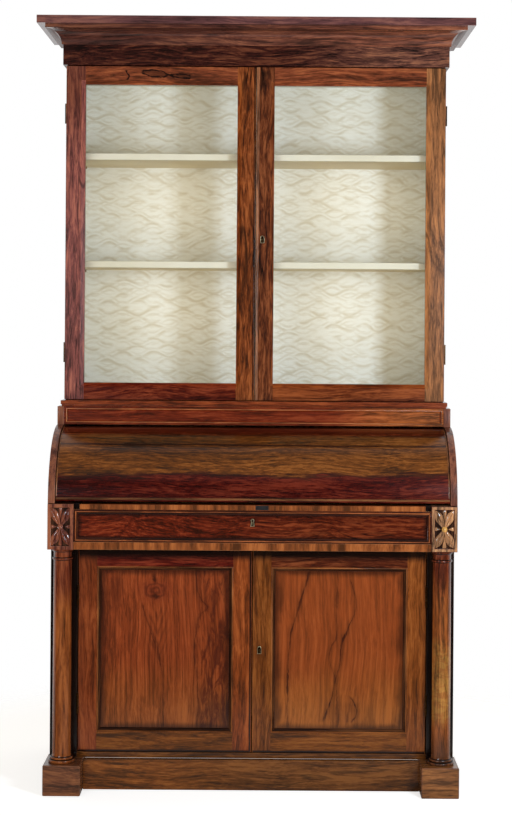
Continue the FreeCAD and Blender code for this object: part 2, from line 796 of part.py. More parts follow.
def case_top():
    """Moulded top board of the desk case, with a stepped bead under its edge."""
    half = f"({half_case} - case_top_inset)"
    front = f"({axis_depth} - case_top_nosing)"
    bead_top = f"{case_top_low} + case_top_bead"
    board = joined(
        "case_top_piece",
        box("case_top_slab", both_ways(half), (front, back_face), (bead_top, bookcase_low)),
        box("case_top_bead_piece", both_ways(f"({half} - case_top_step)"),
            (f"{front} + case_top_step", back_face), (case_top_low, bead_top)),
    )
    node("case_top_board", board)
    face = f"({axis_depth} + frieze_setback)"
    field_x = both_ways(f"({inner_case} - frieze_frame)")
    field_z = (f"{frieze_low} + frieze_frame", f"{case_top_low} - frieze_frame")
    node("frieze_board", cut(
        "frieze_piece",
        box("frieze_blank", both_ways(inner_case), (face, f"{face} + frieze_thick"),
            (frieze_low, case_top_low)),
        tapered("frieze_field", field_x, (face, f"{face} + frieze_recess"), field_z, "frieze_recess"),
    ))


def notched_board(name, front, narrow, notch_back, wide, back, levels, *tools):
    """A board as wide as the case, with its front corners notched round the blocks or stiles."""
    notches = [
        box(f"{name}_{word}_notch", across(side, narrow, wide), (front, notch_back), levels)
        for side, word in ((-1, "left"), (1, "right"))
    ]
    return cut(name, box(f"{name}_blank", both_ways(wide), (front, back), levels), *notches, *tools)


drawer_face = behind("drawer_setback")
drawer_lip_back = behind("drawer_setback + drawer_lip_thick")
drawer_front_back = behind("drawer_setback + drawer_front_thick")
drawer_step = f"({slide_bed_low} - drawer_gap)"
bolt_middle = f"(({drawer_front_back} + {drawer_lip_back}) / 2)"
drawer_bolt_y = (f"{bolt_middle} - bolt_thick / 2", f"{bolt_middle} + bolt_thick / 2")


def beds():
    node("drawer_bed", notched_board(
        "drawer_bed_piece", behind("bed_setback"), half_drawer, cupboard_front, inner_case, back_inside,
        (bed_low, drawer_low)))
    strike = box("drawer_strike", grown(both_ways("bolt_height / 2"), "bolt_gap"),
                 grown(drawer_bolt_y, "bolt_gap"), (slide_bed_low, f"{slide_bed_low} + strike_depth"))
    node("slide_bed", notched_board(
        "slide_bed_piece", f"({drawer_lip_back} + drawer_gap)", half_drawer, cupboard_front, inner_case,
        back_inside, (slide_bed_low, slide_low), strike))
    runners = []
    for side, word in ((-1, "left"), (1, "right")):
        bearer_x = across(side, f"({half_drawer} - bearer_width)", half_drawer)
        bearer_y = (behind("bearer_setback"), f"{axis_depth} + pigeonhole_setback + pigeonhole_depth")
        bearer_z = (slide_low, f"{slide_top} + bearer_gap")
        runners.append(box(f"{word}_slide_bearer", bearer_x, bearer_y, bearer_z))
        runners.append(box(f"{word}_drawer_guide", across(side, half_drawer, inner_case),
                           (cupboard_front, back_inside), (drawer_low, slide_bed_low)))
    node("slide_and_drawer_runners", *runners)


def corner_blocks():
    blocks = []
    for side, word in ((-1, "left"), (1, "right")):
        x = across(side, half_drawer, half_case)
        face = behind("corner_setback")
        z = (bed_low, slide_top)
        blank = box(f"{word}_corner_blank", x, (face, cupboard_front), z)
        field = box(f"{word}_corner_field", grown(x, "-corner_field_margin"),
                    (face, f"{face} + corner_field_depth"), grown(z, "-corner_field_margin"))
        blocks.append(cut(f"{word}_corner_block", blank, field))
    node("corner_blocks", *blocks)


def pigeonholes():
    front = f"({axis_depth} + pigeonhole_setback)"
    y = (front, f"{front} + pigeonhole_depth")
    low = f"({slide_top} + bearer_gap)"
    high = f"({low} + pigeonhole_height)"
    inside = (f"{low} + pigeonhole_board", f"{high} - pigeonhole_board")
    wide = both_ways(half_drawer)
    boards = [
        box("pigeonhole_floor", wide, y, (low, inside[0])),
        box("pigeonhole_top", wide, y, (inside[1], high)),
        box("pigeonhole_back", wide, (f"{y[1]} - pigeonhole_board", y[1]), inside),
    ]
    pitch = f"((2 * {half_drawer} - pigeonhole_board) / pigeonhole_count)"
    for number in range(int(SIZES["pigeonhole_count"]) + 1):
        start = f"-{half_drawer} + {pitch} * {number}"
        boards.append(box(f"pigeonhole_divider_{number}", (start, f"{start} + pigeonhole_board"),
                          (y[0], f"{y[1]} - pigeonhole_board"), inside))
    node("pigeonhole_case", *boards)


# Cylinder with its nosing and iron arms, drawn round its axis

def cylinder():
    half = f"({inner_case} - shell_gap)"
    inner_radius = "(shell_radius - shell_thick)"
    edge = "(nose_rise + nose_height)"
    corners = [
        (f"-sqrt(shell_radius^2 - {edge}^2)", edge, "shell_radius", -1),
        ("shell_overlap", "sqrt(shell_radius^2 - shell_overlap^2)"),
        ("shell_overlap", f"sqrt({inner_radius}^2 - shell_overlap^2)", inner_radius, 1),
        (f"-sqrt({inner_radius}^2 - {edge}^2)", edge),
    ]
    node("cylinder_shell", moulded("cylinder_shell_run", "YZ_Plane", corners, f"2 * {half}", f"-{half}",
                                   axis_depth, axis_level))
    nose_back = "-(shell_radius - nose_depth + nose_rise)"
    nose_front = "-(shell_radius - nose_rise / 2)"
    corners = [
        (nose_back, "nose_rise"),
        (nose_back, edge),
        (nose_front, edge, "nose_radius", 1),
        (nose_front, "nose_rise"),
    ]
    node("cylinder_nosing", moulded("cylinder_nosing_run", "YZ_Plane", corners, f"2 * {half}", f"-{half}",
                                    axis_depth, axis_level))
    arms = []
    for side, word in ((-1, "left"), (1, "right")):
        outside = f"({half} - arm_inset)"
        x = across(side, f"{outside} - arm_thick", outside)
        blank = joined(
            f"{word}_arm_blank",
            box(f"{word}_front_spoke", x, (f"{axis_depth} - shell_radius", axis_depth),
                (f"{axis_level} + {edge}", f"{axis_level} + {edge} + arm_width")),
            box(f"{word}_top_spoke", x, (f"{axis_depth} - arm_width / 2", f"{axis_depth} + arm_width / 2"),
                (axis_level, f"{axis_level} + shell_radius")),
            rod(f"{word}_hub", "x", x, axis_depth, axis_level, "hub_radius"),
        )
        trimmed = doc.addObject("Part::Common", f"{word}_arm_trimmed")
        trimmed.Base = blank
        trimmed.Tool = rod(f"{word}_arm_reach", "x", x, axis_depth, axis_level, inner_radius)
        pin_x = across(side, outside, f"{inner_case} + pivot_depth - shell_gap / 2")
        arms.append(joined(f"{word}_arm", trimmed,
                           rod(f"{word}_pivot", "x", pin_x, axis_depth, axis_level, "pivot_radius")))
    node("cylinder_arms", *arms)


# Writing slide

def writing_slide():
    front = behind("slide_setback")
    back = behind("slide_setback + slide_depth")
    low = f"{slide_low} + slide_gap"
    leather_x = both_ways(f"({half_slide} - leather_margin)")
    leather_y = (f"{front} + leather_margin", f"{back} - leather_margin")
    leather_z = (f"{slide_top} - leather_thick", slide_top)
    plate_x = ("lock_plate_offset - lock_plate_width / 2", "lock_plate_offset + lock_plate_width / 2")
    plate_y = (front, f"{front} + lock_plate_thick")
    plate_z = (f"{low} + lock_plate_border", f"{slide_top} - lock_plate_border")
    node("writing_slide", cut(
        "writing_slide_board",
        box("writing_slide_blank", both_ways(half_slide), (front, back), (low, slide_top)),
        box("leather_seat", leather_x, leather_y, leather_z),
        box("lock_plate_seat", plate_x, plate_y, plate_z),
    ))
    node("writing_leather", box("leather_sheet", leather_x, leather_y, leather_z))
    node("slide_lock_plate", box("slide_plate", plate_x, plate_y, plate_z))


# Frieze drawer

def drawer():
    half = f"({half_drawer} - drawer_gap)"
    low = f"({drawer_low} + slide_gap)"
    high = f"({slide_low} - drawer_gap / 2)"
    lock_x = both_ways("drawer_lock_width / 2")
    lock_y = (f"{drawer_lip_back} + drawer_gap", drawer_front_back)
    lock_z = (f"{drawer_step} - drawer_lock_height", drawer_step)
    key_level = f"({slide_low} - drawer_key_drop)"
    field = f"({drawer_face} + drawer_recess)"
    face = tapered("drawer_field", both_ways(f"({half} - drawer_frame)"), (drawer_face, field),
                   (f"{low} + drawer_frame", f"{high} - drawer_frame"), "drawer_recess")
    node("drawer_front", cut(
        "drawer_front_board",
        box("drawer_front_blank", both_ways(half), (drawer_face, drawer_front_back), (low, high)),
        box("drawer_rear_step", both_ways(half), (drawer_lip_back, drawer_front_back), (drawer_step, high)),
        face,
        box("drawer_lock_seat", lock_x, lock_y, lock_z),
        keyhole("drawer_key_way", "0", (field, lock_y[0]), key_level),
    ))
    side_back = f"({drawer_front_back} + drawer_depth)"
    top = f"({drawer_step} - drawer_bottom_rise)"
    inside = f"({half} - drawer_side_thick)"
    bottom_z = (f"{low} + drawer_bottom_rise", f"{low} + drawer_bottom_rise + drawer_bottom_thick")
    boards = [
        box(f"{word}_drawer_side", across(side, inside, half), (drawer_front_back, side_back), (low, top))
        for side, word in ((-1, "left"), (1, "right"))
    ]
    boards.append(box("drawer_back", both_ways(inside), (f"{side_back} - drawer_side_thick", side_back),
                      (bottom_z[0], top)))
    boards.append(box("drawer_bottom", both_ways(inside),
                      (drawer_front_back, f"{side_back} - drawer_side_thick"), bottom_z))
    node("drawer_box", *boards)
    bolt_x = both_ways("bolt_height / 2")
    case = cut(
        "drawer_lock_case",
        box("drawer_lock_blank", lock_x, lock_y, lock_z),
        box("drawer_bolt_way", grown(bolt_x, "bolt_gap"), grown(drawer_bolt_y, "bolt_gap"),
            (f"{drawer_step} - bolt_rest - bolt_length - bolt_gap", drawer_step)),
    )
    node("drawer_lock", case, escutcheon("drawer_escutcheon", "0", field, key_level))
    node("drawer_bolt", box("drawer_bolt_bar", bolt_x, drawer_bolt_y,
                            (f"{drawer_step} - bolt_rest - bolt_length", f"{drawer_step} - bolt_rest")))


# Cupboard

cupboard_levels = (f"({floor_top} + door_clearance)", f"({bed_low} - door_clearance)")


def cupboard_door(name, side, meeting_cuts):
    low, high = cupboard_levels
    edge = f"({half_cupboard} - door_clearance)"
    sight_x = across(side, "door_gap / 2 + cupboard_stile", f"{edge} - cupboard_stile")
    sight_z = (f"{low} + cupboard_rail", f"{high} - cupboard_rail")
    panel_front = f"({cupboard_front} + panel_setback)"
    panel_y = (panel_front, f"{panel_front} + panel_thick")
    groove = box(f"{name}_groove", grown(sight_x, "rebate_width"), panel_y, grown(sight_z, "rebate_width"))
    levels = hinge_levels(low, high)
    hinge_cuts = [
        cupboard_hinge_mortise(f"{name}_leaf_seat_{n}", side, edge, False, level)
        for n, level in enumerate(levels)
    ]
    door_frame(name, side, edge, ("cupboard_stile", "cupboard_stile"), ("cupboard_rail", "cupboard_rail"),
               cupboard_front, "cupboard_door_thick", cupboard_levels, [groove], hinge_cuts, meeting_cuts)
    slack = "rebate_width - panel_gap"
    node(f"{name}_panel", box(f"{name}_panel_board", grown(sight_x, slack), panel_y, grown(sight_z, slack)))
    front = f"{panel_front} - panel_moulding_depth"
    node(f"{name}_moulding", cut(
        f"{name}_moulding_frame",
        box(f"{name}_moulding_blank", sight_x, (front, panel_front), sight_z),
        tapered(f"{name}_moulding_slope", sight_x, (front, panel_front), sight_z, "panel_moulding_width"),
    ))
    pairs = [cupboard_hinge(f"{name}_hinge_{n}", side, level) for n, level in enumerate(levels)]
    node(f"{name}_hinge_leaves", *[pair[1] for pair in pairs])
    return [pair[0] for pair in pairs]


def cupboard():
    fixed = []
    for side, word in ((-1, "left"), (1, "right")):
        seats = [
            cupboard_hinge_mortise(f"{word}_fixed_stile_seat_{n}", side, half_cupboard, True, low)
            for n, low in enumerate(hinge_levels(*cupboard_levels))
        ]
        blank = box(f"{word}_fixed_stile_blank", across(side, half_cupboard, half_case),
                    (cupboard_front, stile_back), ("foot_height", bed_low))
        fixed.append(cut(f"{word}_fixed_stile", blank, *seats))
    node("cupboard_stiles", *fixed)
    node("cupboard_floor", notched_board(
        "cupboard_floor_piece", cupboard_front, half_cupboard, stile_back, inner_case, back_inside,
        ("foot_height", floor_top)))
    node("cupboard_shelf", box(
        "cupboard_shelf_board", both_ways(f"({inner_case} + housing_depth)"),
        (f"{stile_back} + cupboard_shelf_setback", back_inside),
        (shelf_low, f"{shelf_low} + cupboard_shelf_thick")))
    level = f"({floor_top} + cupboard_lock_rise)"
    lock = door_lock("cupboard_lock", cupboard_front, "cupboard_door_thick", level)
    case, bolt, plate, seats, strike = lock
    leaves = cupboard_door("left_cupboard_door", -1, [strike])
    leaves += cupboard_door("right_cupboard_door", 1, seats)
    node("cupboard_door_lock", case, plate)
    node("cupboard_door_bolt", bolt)
    return leaves


# Columns, feet and plinth

def columns():
    tall = "(floor_thick + cupboard_height)"
    shoe_low = "base_ring_height"
    shaft_low = "(base_ring_height + shoe_ring_height)"
    neck_low = f"({tall} - neck_height - neck_ring_height)"
    neck_top = f"({tall} - neck_height)"
    cap_low = f"({tall} - cap_ring_height)"
    corners = [
        ("0", "0"),
        ("base_ring_radius - base_ring_height / 3", "0", "base_ring_height * ring_roundness", 1),
        ("base_ring_radius - base_ring_height / 3", shoe_low),
        ("shoe_ring_radius - shoe_ring_height / 3", shoe_low, "shoe_ring_height * ring_roundness", 1),
        ("shoe_ring_radius - shoe_ring_height / 3", shaft_low),
        ("column_radius", shaft_low),
        ("column_neck_radius", neck_low),
        ("neck_ring_radius - neck_ring_height / 3", neck_low, "neck_ring_height * ring_roundness", 1),
        ("neck_ring_radius - neck_ring_height / 3", neck_top),
        ("column_neck_radius", neck_top),
        ("column_neck_radius", cap_low),
        ("cap_ring_radius - cap_ring_height / 3", cap_low, "cap_ring_height * ring_roundness", 1),
        ("cap_ring_radius - cap_ring_height / 3", tall),
        ("0", tall),
    ]
    node("columns", *[
        turned(f"{word}_column", corners, f"{side} * ({half_case} - column_inset)",
               behind("column_setback"), "foot_height")
        for side, word in ((-1, "left"), (1, "right"))
    ])


def feet():
    outside = f"({half_case} + foot_overhang)"
    inside = f"({outside} - foot_width)"
    blocks = []
    height = ("0", "foot_height")
    boards = [box("plinth_front", both_ways(inside), (behind("plinth_setback"), cupboard_front), height)]
    rear = f"({back_face} - rear_foot_depth)"
    for side, word in ((-1, "left"), (1, "right")):
        x = across(side, inside, outside)
        blocks.append(box(f"{word}_front_foot", x, (behind("0"), behind("foot_depth")), height))
        blocks.append(box(f"{word}_rear_foot", x, (rear, back_face), height))
        boards.append(box(f"{word}_plinth_return", across(side, inner_case, half_case),
                          (behind("foot_depth"), rear), height))
    node("foot_blocks", *blocks)
    node("plinth_boards", *boards)


# The whole piece

cornice()
bookcase()
case_leaves = glazed_doors()
case_top()
case_sides()
beds()
corner_blocks()
pigeonholes()
cylinder()
writing_slide()
drawer()
case_leaves += cupboard()
node("case_hinge_leaves", *case_leaves)
columns()
feet()

doc.recompute()

for item in doc.Objects:
    faults = [state for state in item.State if state in ("Invalid", "Error")]
    if faults:
        raise RuntimeError(f"{item.Label}: {faults}")

os.makedirs("parts", exist_ok=True)
for piece in nodes:
    shape = piece.Shape
    if shape.isNull() or not shape.isValid() or not shape.Solids:
        raise RuntimeError(f"{piece.Label} has no valid solid")
    shape.exportStep(f"parts/{piece.Label}.step")
print(f"{len(nodes)} sub-parts written")
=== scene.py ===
import json
import math

import bmesh
import bpy
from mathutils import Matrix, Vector

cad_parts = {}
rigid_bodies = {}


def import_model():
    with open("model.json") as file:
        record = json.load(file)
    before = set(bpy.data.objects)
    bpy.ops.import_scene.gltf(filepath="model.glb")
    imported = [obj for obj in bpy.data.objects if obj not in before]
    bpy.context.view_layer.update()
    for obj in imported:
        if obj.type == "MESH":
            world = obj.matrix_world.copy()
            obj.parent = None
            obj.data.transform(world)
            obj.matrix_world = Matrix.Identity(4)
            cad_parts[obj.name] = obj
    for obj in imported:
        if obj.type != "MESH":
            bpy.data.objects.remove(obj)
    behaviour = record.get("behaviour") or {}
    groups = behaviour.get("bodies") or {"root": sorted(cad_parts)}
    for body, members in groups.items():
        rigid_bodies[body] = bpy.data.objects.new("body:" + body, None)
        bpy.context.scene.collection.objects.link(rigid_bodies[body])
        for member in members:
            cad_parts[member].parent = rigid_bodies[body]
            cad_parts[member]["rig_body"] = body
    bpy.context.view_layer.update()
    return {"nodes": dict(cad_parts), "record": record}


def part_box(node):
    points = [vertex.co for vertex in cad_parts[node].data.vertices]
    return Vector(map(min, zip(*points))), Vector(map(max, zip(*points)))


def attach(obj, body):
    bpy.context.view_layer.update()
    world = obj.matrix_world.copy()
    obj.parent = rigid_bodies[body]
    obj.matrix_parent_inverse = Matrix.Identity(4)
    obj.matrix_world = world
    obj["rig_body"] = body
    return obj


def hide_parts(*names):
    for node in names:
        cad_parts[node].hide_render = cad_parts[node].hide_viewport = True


# Looks of the cylinder secretary bookcase, in metres in the frame of its solids:
# +Z up, the front faces -Y, the origin is the middle of its footprint on the floor.

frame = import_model()
slot_of = {part["node"]: part["material_slot"] for part in frame["record"]["subparts"]}
MM = 0.001
FORWARD = (0, -1, 0)
UPWARD = (0, 0, 1)

# Widths of the edges that the polisher has rounded
FINE = 0.3 * MM
CRISP = 0.8 * MM
SOFT = 1.5 * MM
WORN = 3 * MM

# The woods: body colour as the eye sees it, in bytes, then the contrast of its streaks, then how much
# of the black figure and the short flecks of rosewood shows in it.
WOODS = {
    # The cornice edge's purplish body is partly a painted sheen.
    "cornice_edge_with_sheen": ((95, 58, 62), 0.9, 0.3),
    "cornice_hollow": ((80, 43, 37), 1.0, 0.4),
    "cornice_hollow_end": ((115, 65, 50), 1.1, 0.4),
    "cornice_frieze": ((56, 20, 16), 1.2, 0.9),
    "cornice_frieze_end": ((92, 55, 48), 1.5, 0.9),
    # The left stile's pinkish purple body is partly a painted sheen.
    "left_stile": ((125, 68, 65), 1.0, 0.7),
    "left_stile_top": ((88, 42, 35), 0.9, 0.7),
    "left_meeting_stile": ((105, 48, 18), 1.1, 1.0),
    "right_meeting_stile": ((88, 40, 20), 1.1, 1.0),
    "right_stile": ((140, 90, 55), 0.9, 0.7),
    "top_rail": ((115, 55, 32), 1.0, 0.7),
    "left_low_rail": ((76, 14, 4), 1.2, 0.7),
    "right_low_rail": ((92, 35, 10), 1.2, 0.5),
    "meeting_bead": ((132, 85, 60), 1.0, 0.0),
    "waist": ((108, 42, 16), 0.9, 0.5),
    "frieze": ((102, 30, 10), 0.9, 0.5),
    "frieze_end": ((155, 82, 36), 1.0, 0.5),
    "frieze_bead": ((146, 86, 52), 0.9, 0.0),
    "case_side": ((100, 56, 44), 0.9, 0.4),
    "cylinder_foot": ((62, 4, 1), 1.0, 0.8),
    "cylinder_crown_with_sheen": ((98, 52, 15), 1.0, 0.8),
    "nosing": ((100, 60, 35), 0.8, 0.0),
    "drawer": ((78, 20, 4), 1.1, 0.8),
    "left_drawer": ((95, 24, 6), 1.1, 0.8),
    "drawer_bead": ((135, 72, 38), 0.9, 0.0),
    "drawer_shade": ((44, 15, 9), 0.7, 0.2),
    "cross_band": ((126, 66, 30), 0.9, 0.0),
    "left_carved": ((92, 46, 38), 1.3, 0.0),
    "right_carved": ((160, 116, 84), 1.2, 0.0),
    "shaded_carved_ground": ((38, 18, 12), 0.7, 0.0),
    "gold_boss": ((194, 146, 80), 0.7, 0.0),
    "left_hinge_stile": ((110, 45, 16), 0.8, 0.3),
    "left_closing_stile": ((124, 55, 18), 0.9, 0.4),
    "right_closing_stile": ((99, 48, 12), 0.9, 0.5),
    "right_hinge_stile": ((114, 56, 16), 0.9, 0.4),
    # The top door rails are darker and redder than the low rail: partly the wood, partly painted shade
    # under the drawer bed.
    "left_top_door_rail": ((80, 12, 5), 1.1, 0.5),
    "right_top_door_rail": ((76, 26, 10), 1.2, 0.5),
    "low_door_rail": ((103, 52, 8), 0.9, 0.5),
    "left_panel": ((127, 52, 20), 0.6, 0.1),
    "left_panel_foot": ((131, 69, 26), 0.6, 0.1),
    "right_panel": ((133, 60, 22), 0.4, 0.1),
    "right_panel_foot": ((146, 83, 30), 0.4, 0.1),
    "panel_bead": ((112, 62, 30), 0.9, 0.0),
    "panel_shade": ((52, 25, 13), 0.9, 0.0),
    "left_column": ((120, 61, 26), 0.9, 0.4),
    "right_column": ((140, 76, 36), 1.0, 0.4),
    "column_neck_red_and_shaded": ((92, 38, 22), 1.0, 0.4),
    "column_ripple": ((156, 108, 52), 0.9, 0.0),
    "shaded_stile": ((22, 10, 8), 0.4, 0.0),
    "plinth": ((92, 50, 16), 0.9, 0.6),
    "left_plinth": ((126, 68, 22), 1.0, 0.6),
    "left_foot": ((110, 64, 40), 0.9, 0.5),
    "right_foot": ((130, 80, 42), 0.9, 0.5),
    "carcass": ((136, 90, 55), 0.7, 0.0),
    "dark_back_board": ((118, 76, 48), 0.7, 0.0),
    "pale_back_board": ((146, 100, 62), 0.7, 0.0),
}

# At a contrast of 1, the share that a dark streak loses and the bytes that a light streak gains
DARK_STREAK = 0.45
LIGHT_STREAK = (40, 30, 18)

# The colour that rubbed edges fade toward, in bytes: partly real wear, partly a painted sheen on the
# rounded edges
RUBBED_AND_SHEEN_TONE = (190, 135, 100)

# Dark veins in the panel veneers: their strength, and points of (height, across) as shares of the panel
PANEL_VEINS = {
    "left": [
        (0.75, [(0, 0.49), (0.1, 0.49), (0.32, 0.48), (0.4, 0.465), (0.5, 0.44), (0.61, 0.385),
                (0.78, 0.32)]),
        (0.8, [(0, 0.75), (0.3, 0.755), (0.43, 0.735), (0.6, 0.74), (0.72, 0.78), (0.765, 0.825),
               (0.81, 0.78), (1, 0.735)]),
        (0.4, [(0.1, 0.83), (0.35, 0.87), (0.6, 0.84), (0.8, 0.9)]),
        (0.35, [(0.62, 0.16), (0.8, 0.12), (1, 0.17)]),
    ],
    "right": [
        (0.9, [(0, 0.1), (0.26, 0.1), (0.48, 0.11), (0.62, 0.13), (0.75, 0.18), (0.9, 0.23), (1, 0.27)]),
        (0.7, [(0, 0.49), (0.2, 0.49), (0.34, 0.465), (0.44, 0.425), (0.52, 0.445), (0.58, 0.48),
               (0.75, 0.48), (1, 0.49)]),
        (1.0, [(0.05, 0.38), (0.12, 0.41), (0.21, 0.45), (0.33, 0.48), (0.43, 0.515), (0.535, 0.52),
               (0.645, 0.575), (0.78, 0.63), (0.95, 0.58)]),
        (0.9, [(0.04, 0.6), (0.1, 0.64), (0.2, 0.59)]),
        (0.6, [(0.03, 0.56), (0.1, 0.58), (0.17, 0.59)]),
        (0.35, [(0, 0.85), (0.4, 0.86), (1, 0.85)]),
    ],
}


# Node trees written as expressions

class Wire:
    """One output of a node tree. Arithmetic on it adds Math nodes."""

    def __init__(self, tree, socket):
        self.tree = tree
        self.socket = socket

    def math(self, operation, *values):
        return self.tree.add("ShaderNodeMath", {"operation": operation}, dict(enumerate(values)))

    def __add__(self, other):
        return self.math("ADD", self, other)

    __radd__ = __add__

    def __sub__(self, other):
        return self.math("SUBTRACT", self, other)

    def __rsub__(self, other):
        return self.math("SUBTRACT", other, self)

    def __mul__(self, other):
        return self.math("MULTIPLY", self, other)

    __rmul__ = __mul__

    def __truediv__(self, other):
        return self.math("DIVIDE", self, other)

    def __abs__(self):
        return self.math("ABSOLUTE", self)

    def sine(self):
        return self.math("SINE", self)

    def root(self):
        return self.math("SQRT", self)

    def fraction(self):
        return self.math("FRACT", self)

    def larger(self, other):
        return self.math("MAXIMUM", self, other)

    def smaller(self, other):
        return self.math("MINIMUM", self, other)

    def ramped(self, low, high):
        """0 below low, 1 above high and a smooth step between."""
        return self.tree.add("ShaderNodeMapRange", {"interpolation_type": "SMOOTHSTEP"},
                             {"Value": self, "From Min": low, "From Max": high})

    def along(self, points):
        """The height of a curve through the points at this value, both from 0 to 1."""
        return self.tree.add("ShaderNodeFloatCurve", {"points": points}, {"Value": self})


class Tree:
    """The nodes of one finish, or of the world."""

    def __init__(self, owner):
        owner.use_nodes = True
        self.owner = owner
        self.nodes = owner.node_tree.nodes
        self.links = owner.node_tree.links
        self.nodes.clear()

    def add(self, kind, settings=None, inputs=None, output=0):
        """Any node: its settings first, then the values or wires of its sockets."""
        node = self.nodes.new(kind)
        for name, setting in (settings or {}).items():
            if name == "stops":
                fill_ramp(node.color_ramp, setting)
            elif name == "points":
                fill_curve(node.mapping, setting)
            else:
                setattr(node, name, setting)
        for socket, value in (inputs or {}).items():
            if isinstance(value, Wire):
                self.links.new(value.socket, node.inputs[socket])
            else:
                node.inputs[socket].default_value = value
        return Wire(self, node.outputs[output]) if node.outputs else None

    def place(self):
        """The point on the object, in metres."""
        return self.add("ShaderNodeTexCoord", output="Object")

    def axes(self, vector):
        return [self.add("ShaderNodeSeparateXYZ", inputs={"Vector": vector}, output=n) for n in "XYZ"]

    def stretched(self, vector, scale):
        return self.add("ShaderNodeVectorMath", {"operation": "MULTIPLY"}, {0: vector, 1: scale})

    def grain(self, along, ratio, point=None):
        """The point on the object, squeezed across the grain so that noise draws out along it."""
        squeeze = [ratio] * 3
        squeeze["xyz".index(along)] = 1
        return self.stretched(point or self.place(), squeeze)

    def bent(self, amount):
        """The point on the object, moved a little by slow noise, for grain that runs in gentle curves."""
        drift = self.add("ShaderNodeTexNoise", inputs={"Vector": self.place(), "Scale": 3.2, "Detail": 1.0},
                         output="Color")
        middle = (0.5, 0.5, 0.5)
        centred = self.add("ShaderNodeVectorMath", {"operation": "SUBTRACT"}, {0: drift, 1: middle})
        return self.add("ShaderNodeVectorMath", {"operation": "ADD"},
                        {0: self.place(), 1: self.stretched(centred, (amount, amount, amount))})

    def noise(self, vector, scale, detail=2.0, roughness=0.5, distortion=0.0):
        return self.add("ShaderNodeTexNoise", inputs={
            "Vector": vector, "Scale": scale, "Detail": detail,
            "Roughness": roughness, "Distortion": distortion,
        })

    def wander(self, spread, vector, scale, **shape):
        """Noise to both sides of 0, over a spread."""
        return self.noise(vector, scale, **shape) * spread - spread / 2

    def shades(self, value, *stops):
        return self.add("ShaderNodeValToRGB", {"stops": stops}, {"Fac": value})

    def blend(self, amount, first, second, way="MIX"):
        return self.add("ShaderNodeMix", {"data_type": "RGBA", "blend_type": way, "clamp_factor": True},
                        {0: amount, 6: first, 7: second}, output=2)

    def bump(self, height, strength, distance=MM):
        return self.add("ShaderNodeBump",
                        inputs={"Height": height, "Strength": strength, "Distance": distance})

    def surface(self, **sockets):
        """A Principled shader on the finish's output."""
        shader = self.add("ShaderNodeBsdfPrincipled",
                          inputs={name.replace("_", " "): value for name, value in sockets.items()})
        self.add("ShaderNodeOutputMaterial", inputs={"Surface": shader})
        return self.owner


def fill_ramp(ramp, stops):
    while len(ramp.elements) < len(stops):
        ramp.elements.new(1.0)
    for element, (position, colour) in zip(ramp.elements, stops):
        element.position = position
        element.color = colour


def fill_curve(mapping, points):
    curve = mapping.curves[0]
    while len(curve.points) < len(points):
        curve.points.new(0.5, 0.5)
    for point, place in zip(curve.points, points):
        point.location = place
    mapping.update()


def seen(red, green, blue):
    """A colour written as bytes on the screen, as the light it stands for."""
    parts = [part / 255 for part in (red, green, blue)]
    return tuple(p / 12.92 if p <= 0.04045 else ((p + 0.055) / 1.055) ** 2.4 for p in parts) + (1.0,)


def darker(colour, share):
    return tuple(part * share for part in colour[:3]) + (1.0,)


def toward(colour, other, share):
    """A byte colour moved some way toward another."""
    return tuple(a + (b - a) * share for a, b in zip(colour, other))


def new_tree(name):
    return Tree(bpy.data.materials.new(name))


# Rosewood

made_woods = {}


def finished(name, wood, along, paler=0.0, **looks):
    """The finish of one wood, made once and then shared."""
    if name not in made_woods:
        tree = new_tree(name)
        made_woods[name] = polish(tree, streaks(tree, wood, along, paler), along, **looks)
    return made_woods[name]


def rosewood(wood, along):
    """French-polished rosewood of one colour, its grain running along x, y or z."""
    return finished(f"{wood}_along_{along}", wood, along)


def rubbed(wood, along):
    """The same wood at an edge where hands and dusters have thinned the polish, made paler, which is also
    a painted sheen on the rounded edge.
    """
    return finished(f"rubbed_{wood}_along_{along}", wood, along, paler=0.15, dull=0.08)


def carved_wood(wood):
    """Carved wood, burnished until its raised parts glint."""
    return finished(f"burnished_{wood}", wood, "z", dull=-0.07, gloss=0.8)


def dull_wood(wood, along):
    """Wood whose polish has gone dull, in a corner that no duster reaches."""
    return finished(f"dull_{wood}_along_{along}", wood, along, dull=0.1, gloss=0.1)


def filmed_wood(wood, along):
    """Wood under a second film of polish, which mirrors the light behind it at its ends."""
    return finished(f"filmed_{wood}_along_{along}", wood, along, film=1.0)


def streaks(tree, wood, along, paler=0.0, bend=50 * MM, fineness=1.0):
    """The colour of a board: broad bands, short flecks, long streaks, fibres and thin black lines."""
    middle, contrast, figure = WOODS[wood]
    darkest = [part * (1 - DARK_STREAK * contrast) for part in middle]
    lightest = [part + gain * contrast for part, gain in zip(middle, LIGHT_STREAK)]
    dark, body, light = (seen(*toward(tone, RUBBED_AND_SHEEN_TONE, paler)) for tone in (darkest, middle, lightest))
    point = tree.bent(bend)
    bands = tree.noise(tree.grain(along, 7, point), 1.9, detail=3, roughness=0.55, distortion=0.5)
    flecks = tree.noise(tree.grain(along, 7, point), 18 * fineness, detail=4, roughness=0.7, distortion=0.5)
    fine = tree.noise(tree.grain(along, 24 * fineness, point), 3.2,
                      detail=5, roughness=0.68, distortion=0.3)
    fibres = tree.noise(tree.grain(along, 60, point), 14, detail=2)
    share = figure * 0.3 + 0.1
    mixed = bands * 0.25 + flecks * share + fine * (0.6 - share) + fibres * 0.15
    colour = tree.shades(mixed, (0.43, dark), (0.5, body), (0.575, light))
    if figure:
        colour = tree.blend(black_lines(tree, along, point) * figure, colour, darker(dark, 0.4))
    pores = tree.noise(tree.grain(along, 26), 95, detail=1).ramped(0.62, 0.74)
    return tree.blend(pores * 0.3, colour, darker(dark, 0.6))


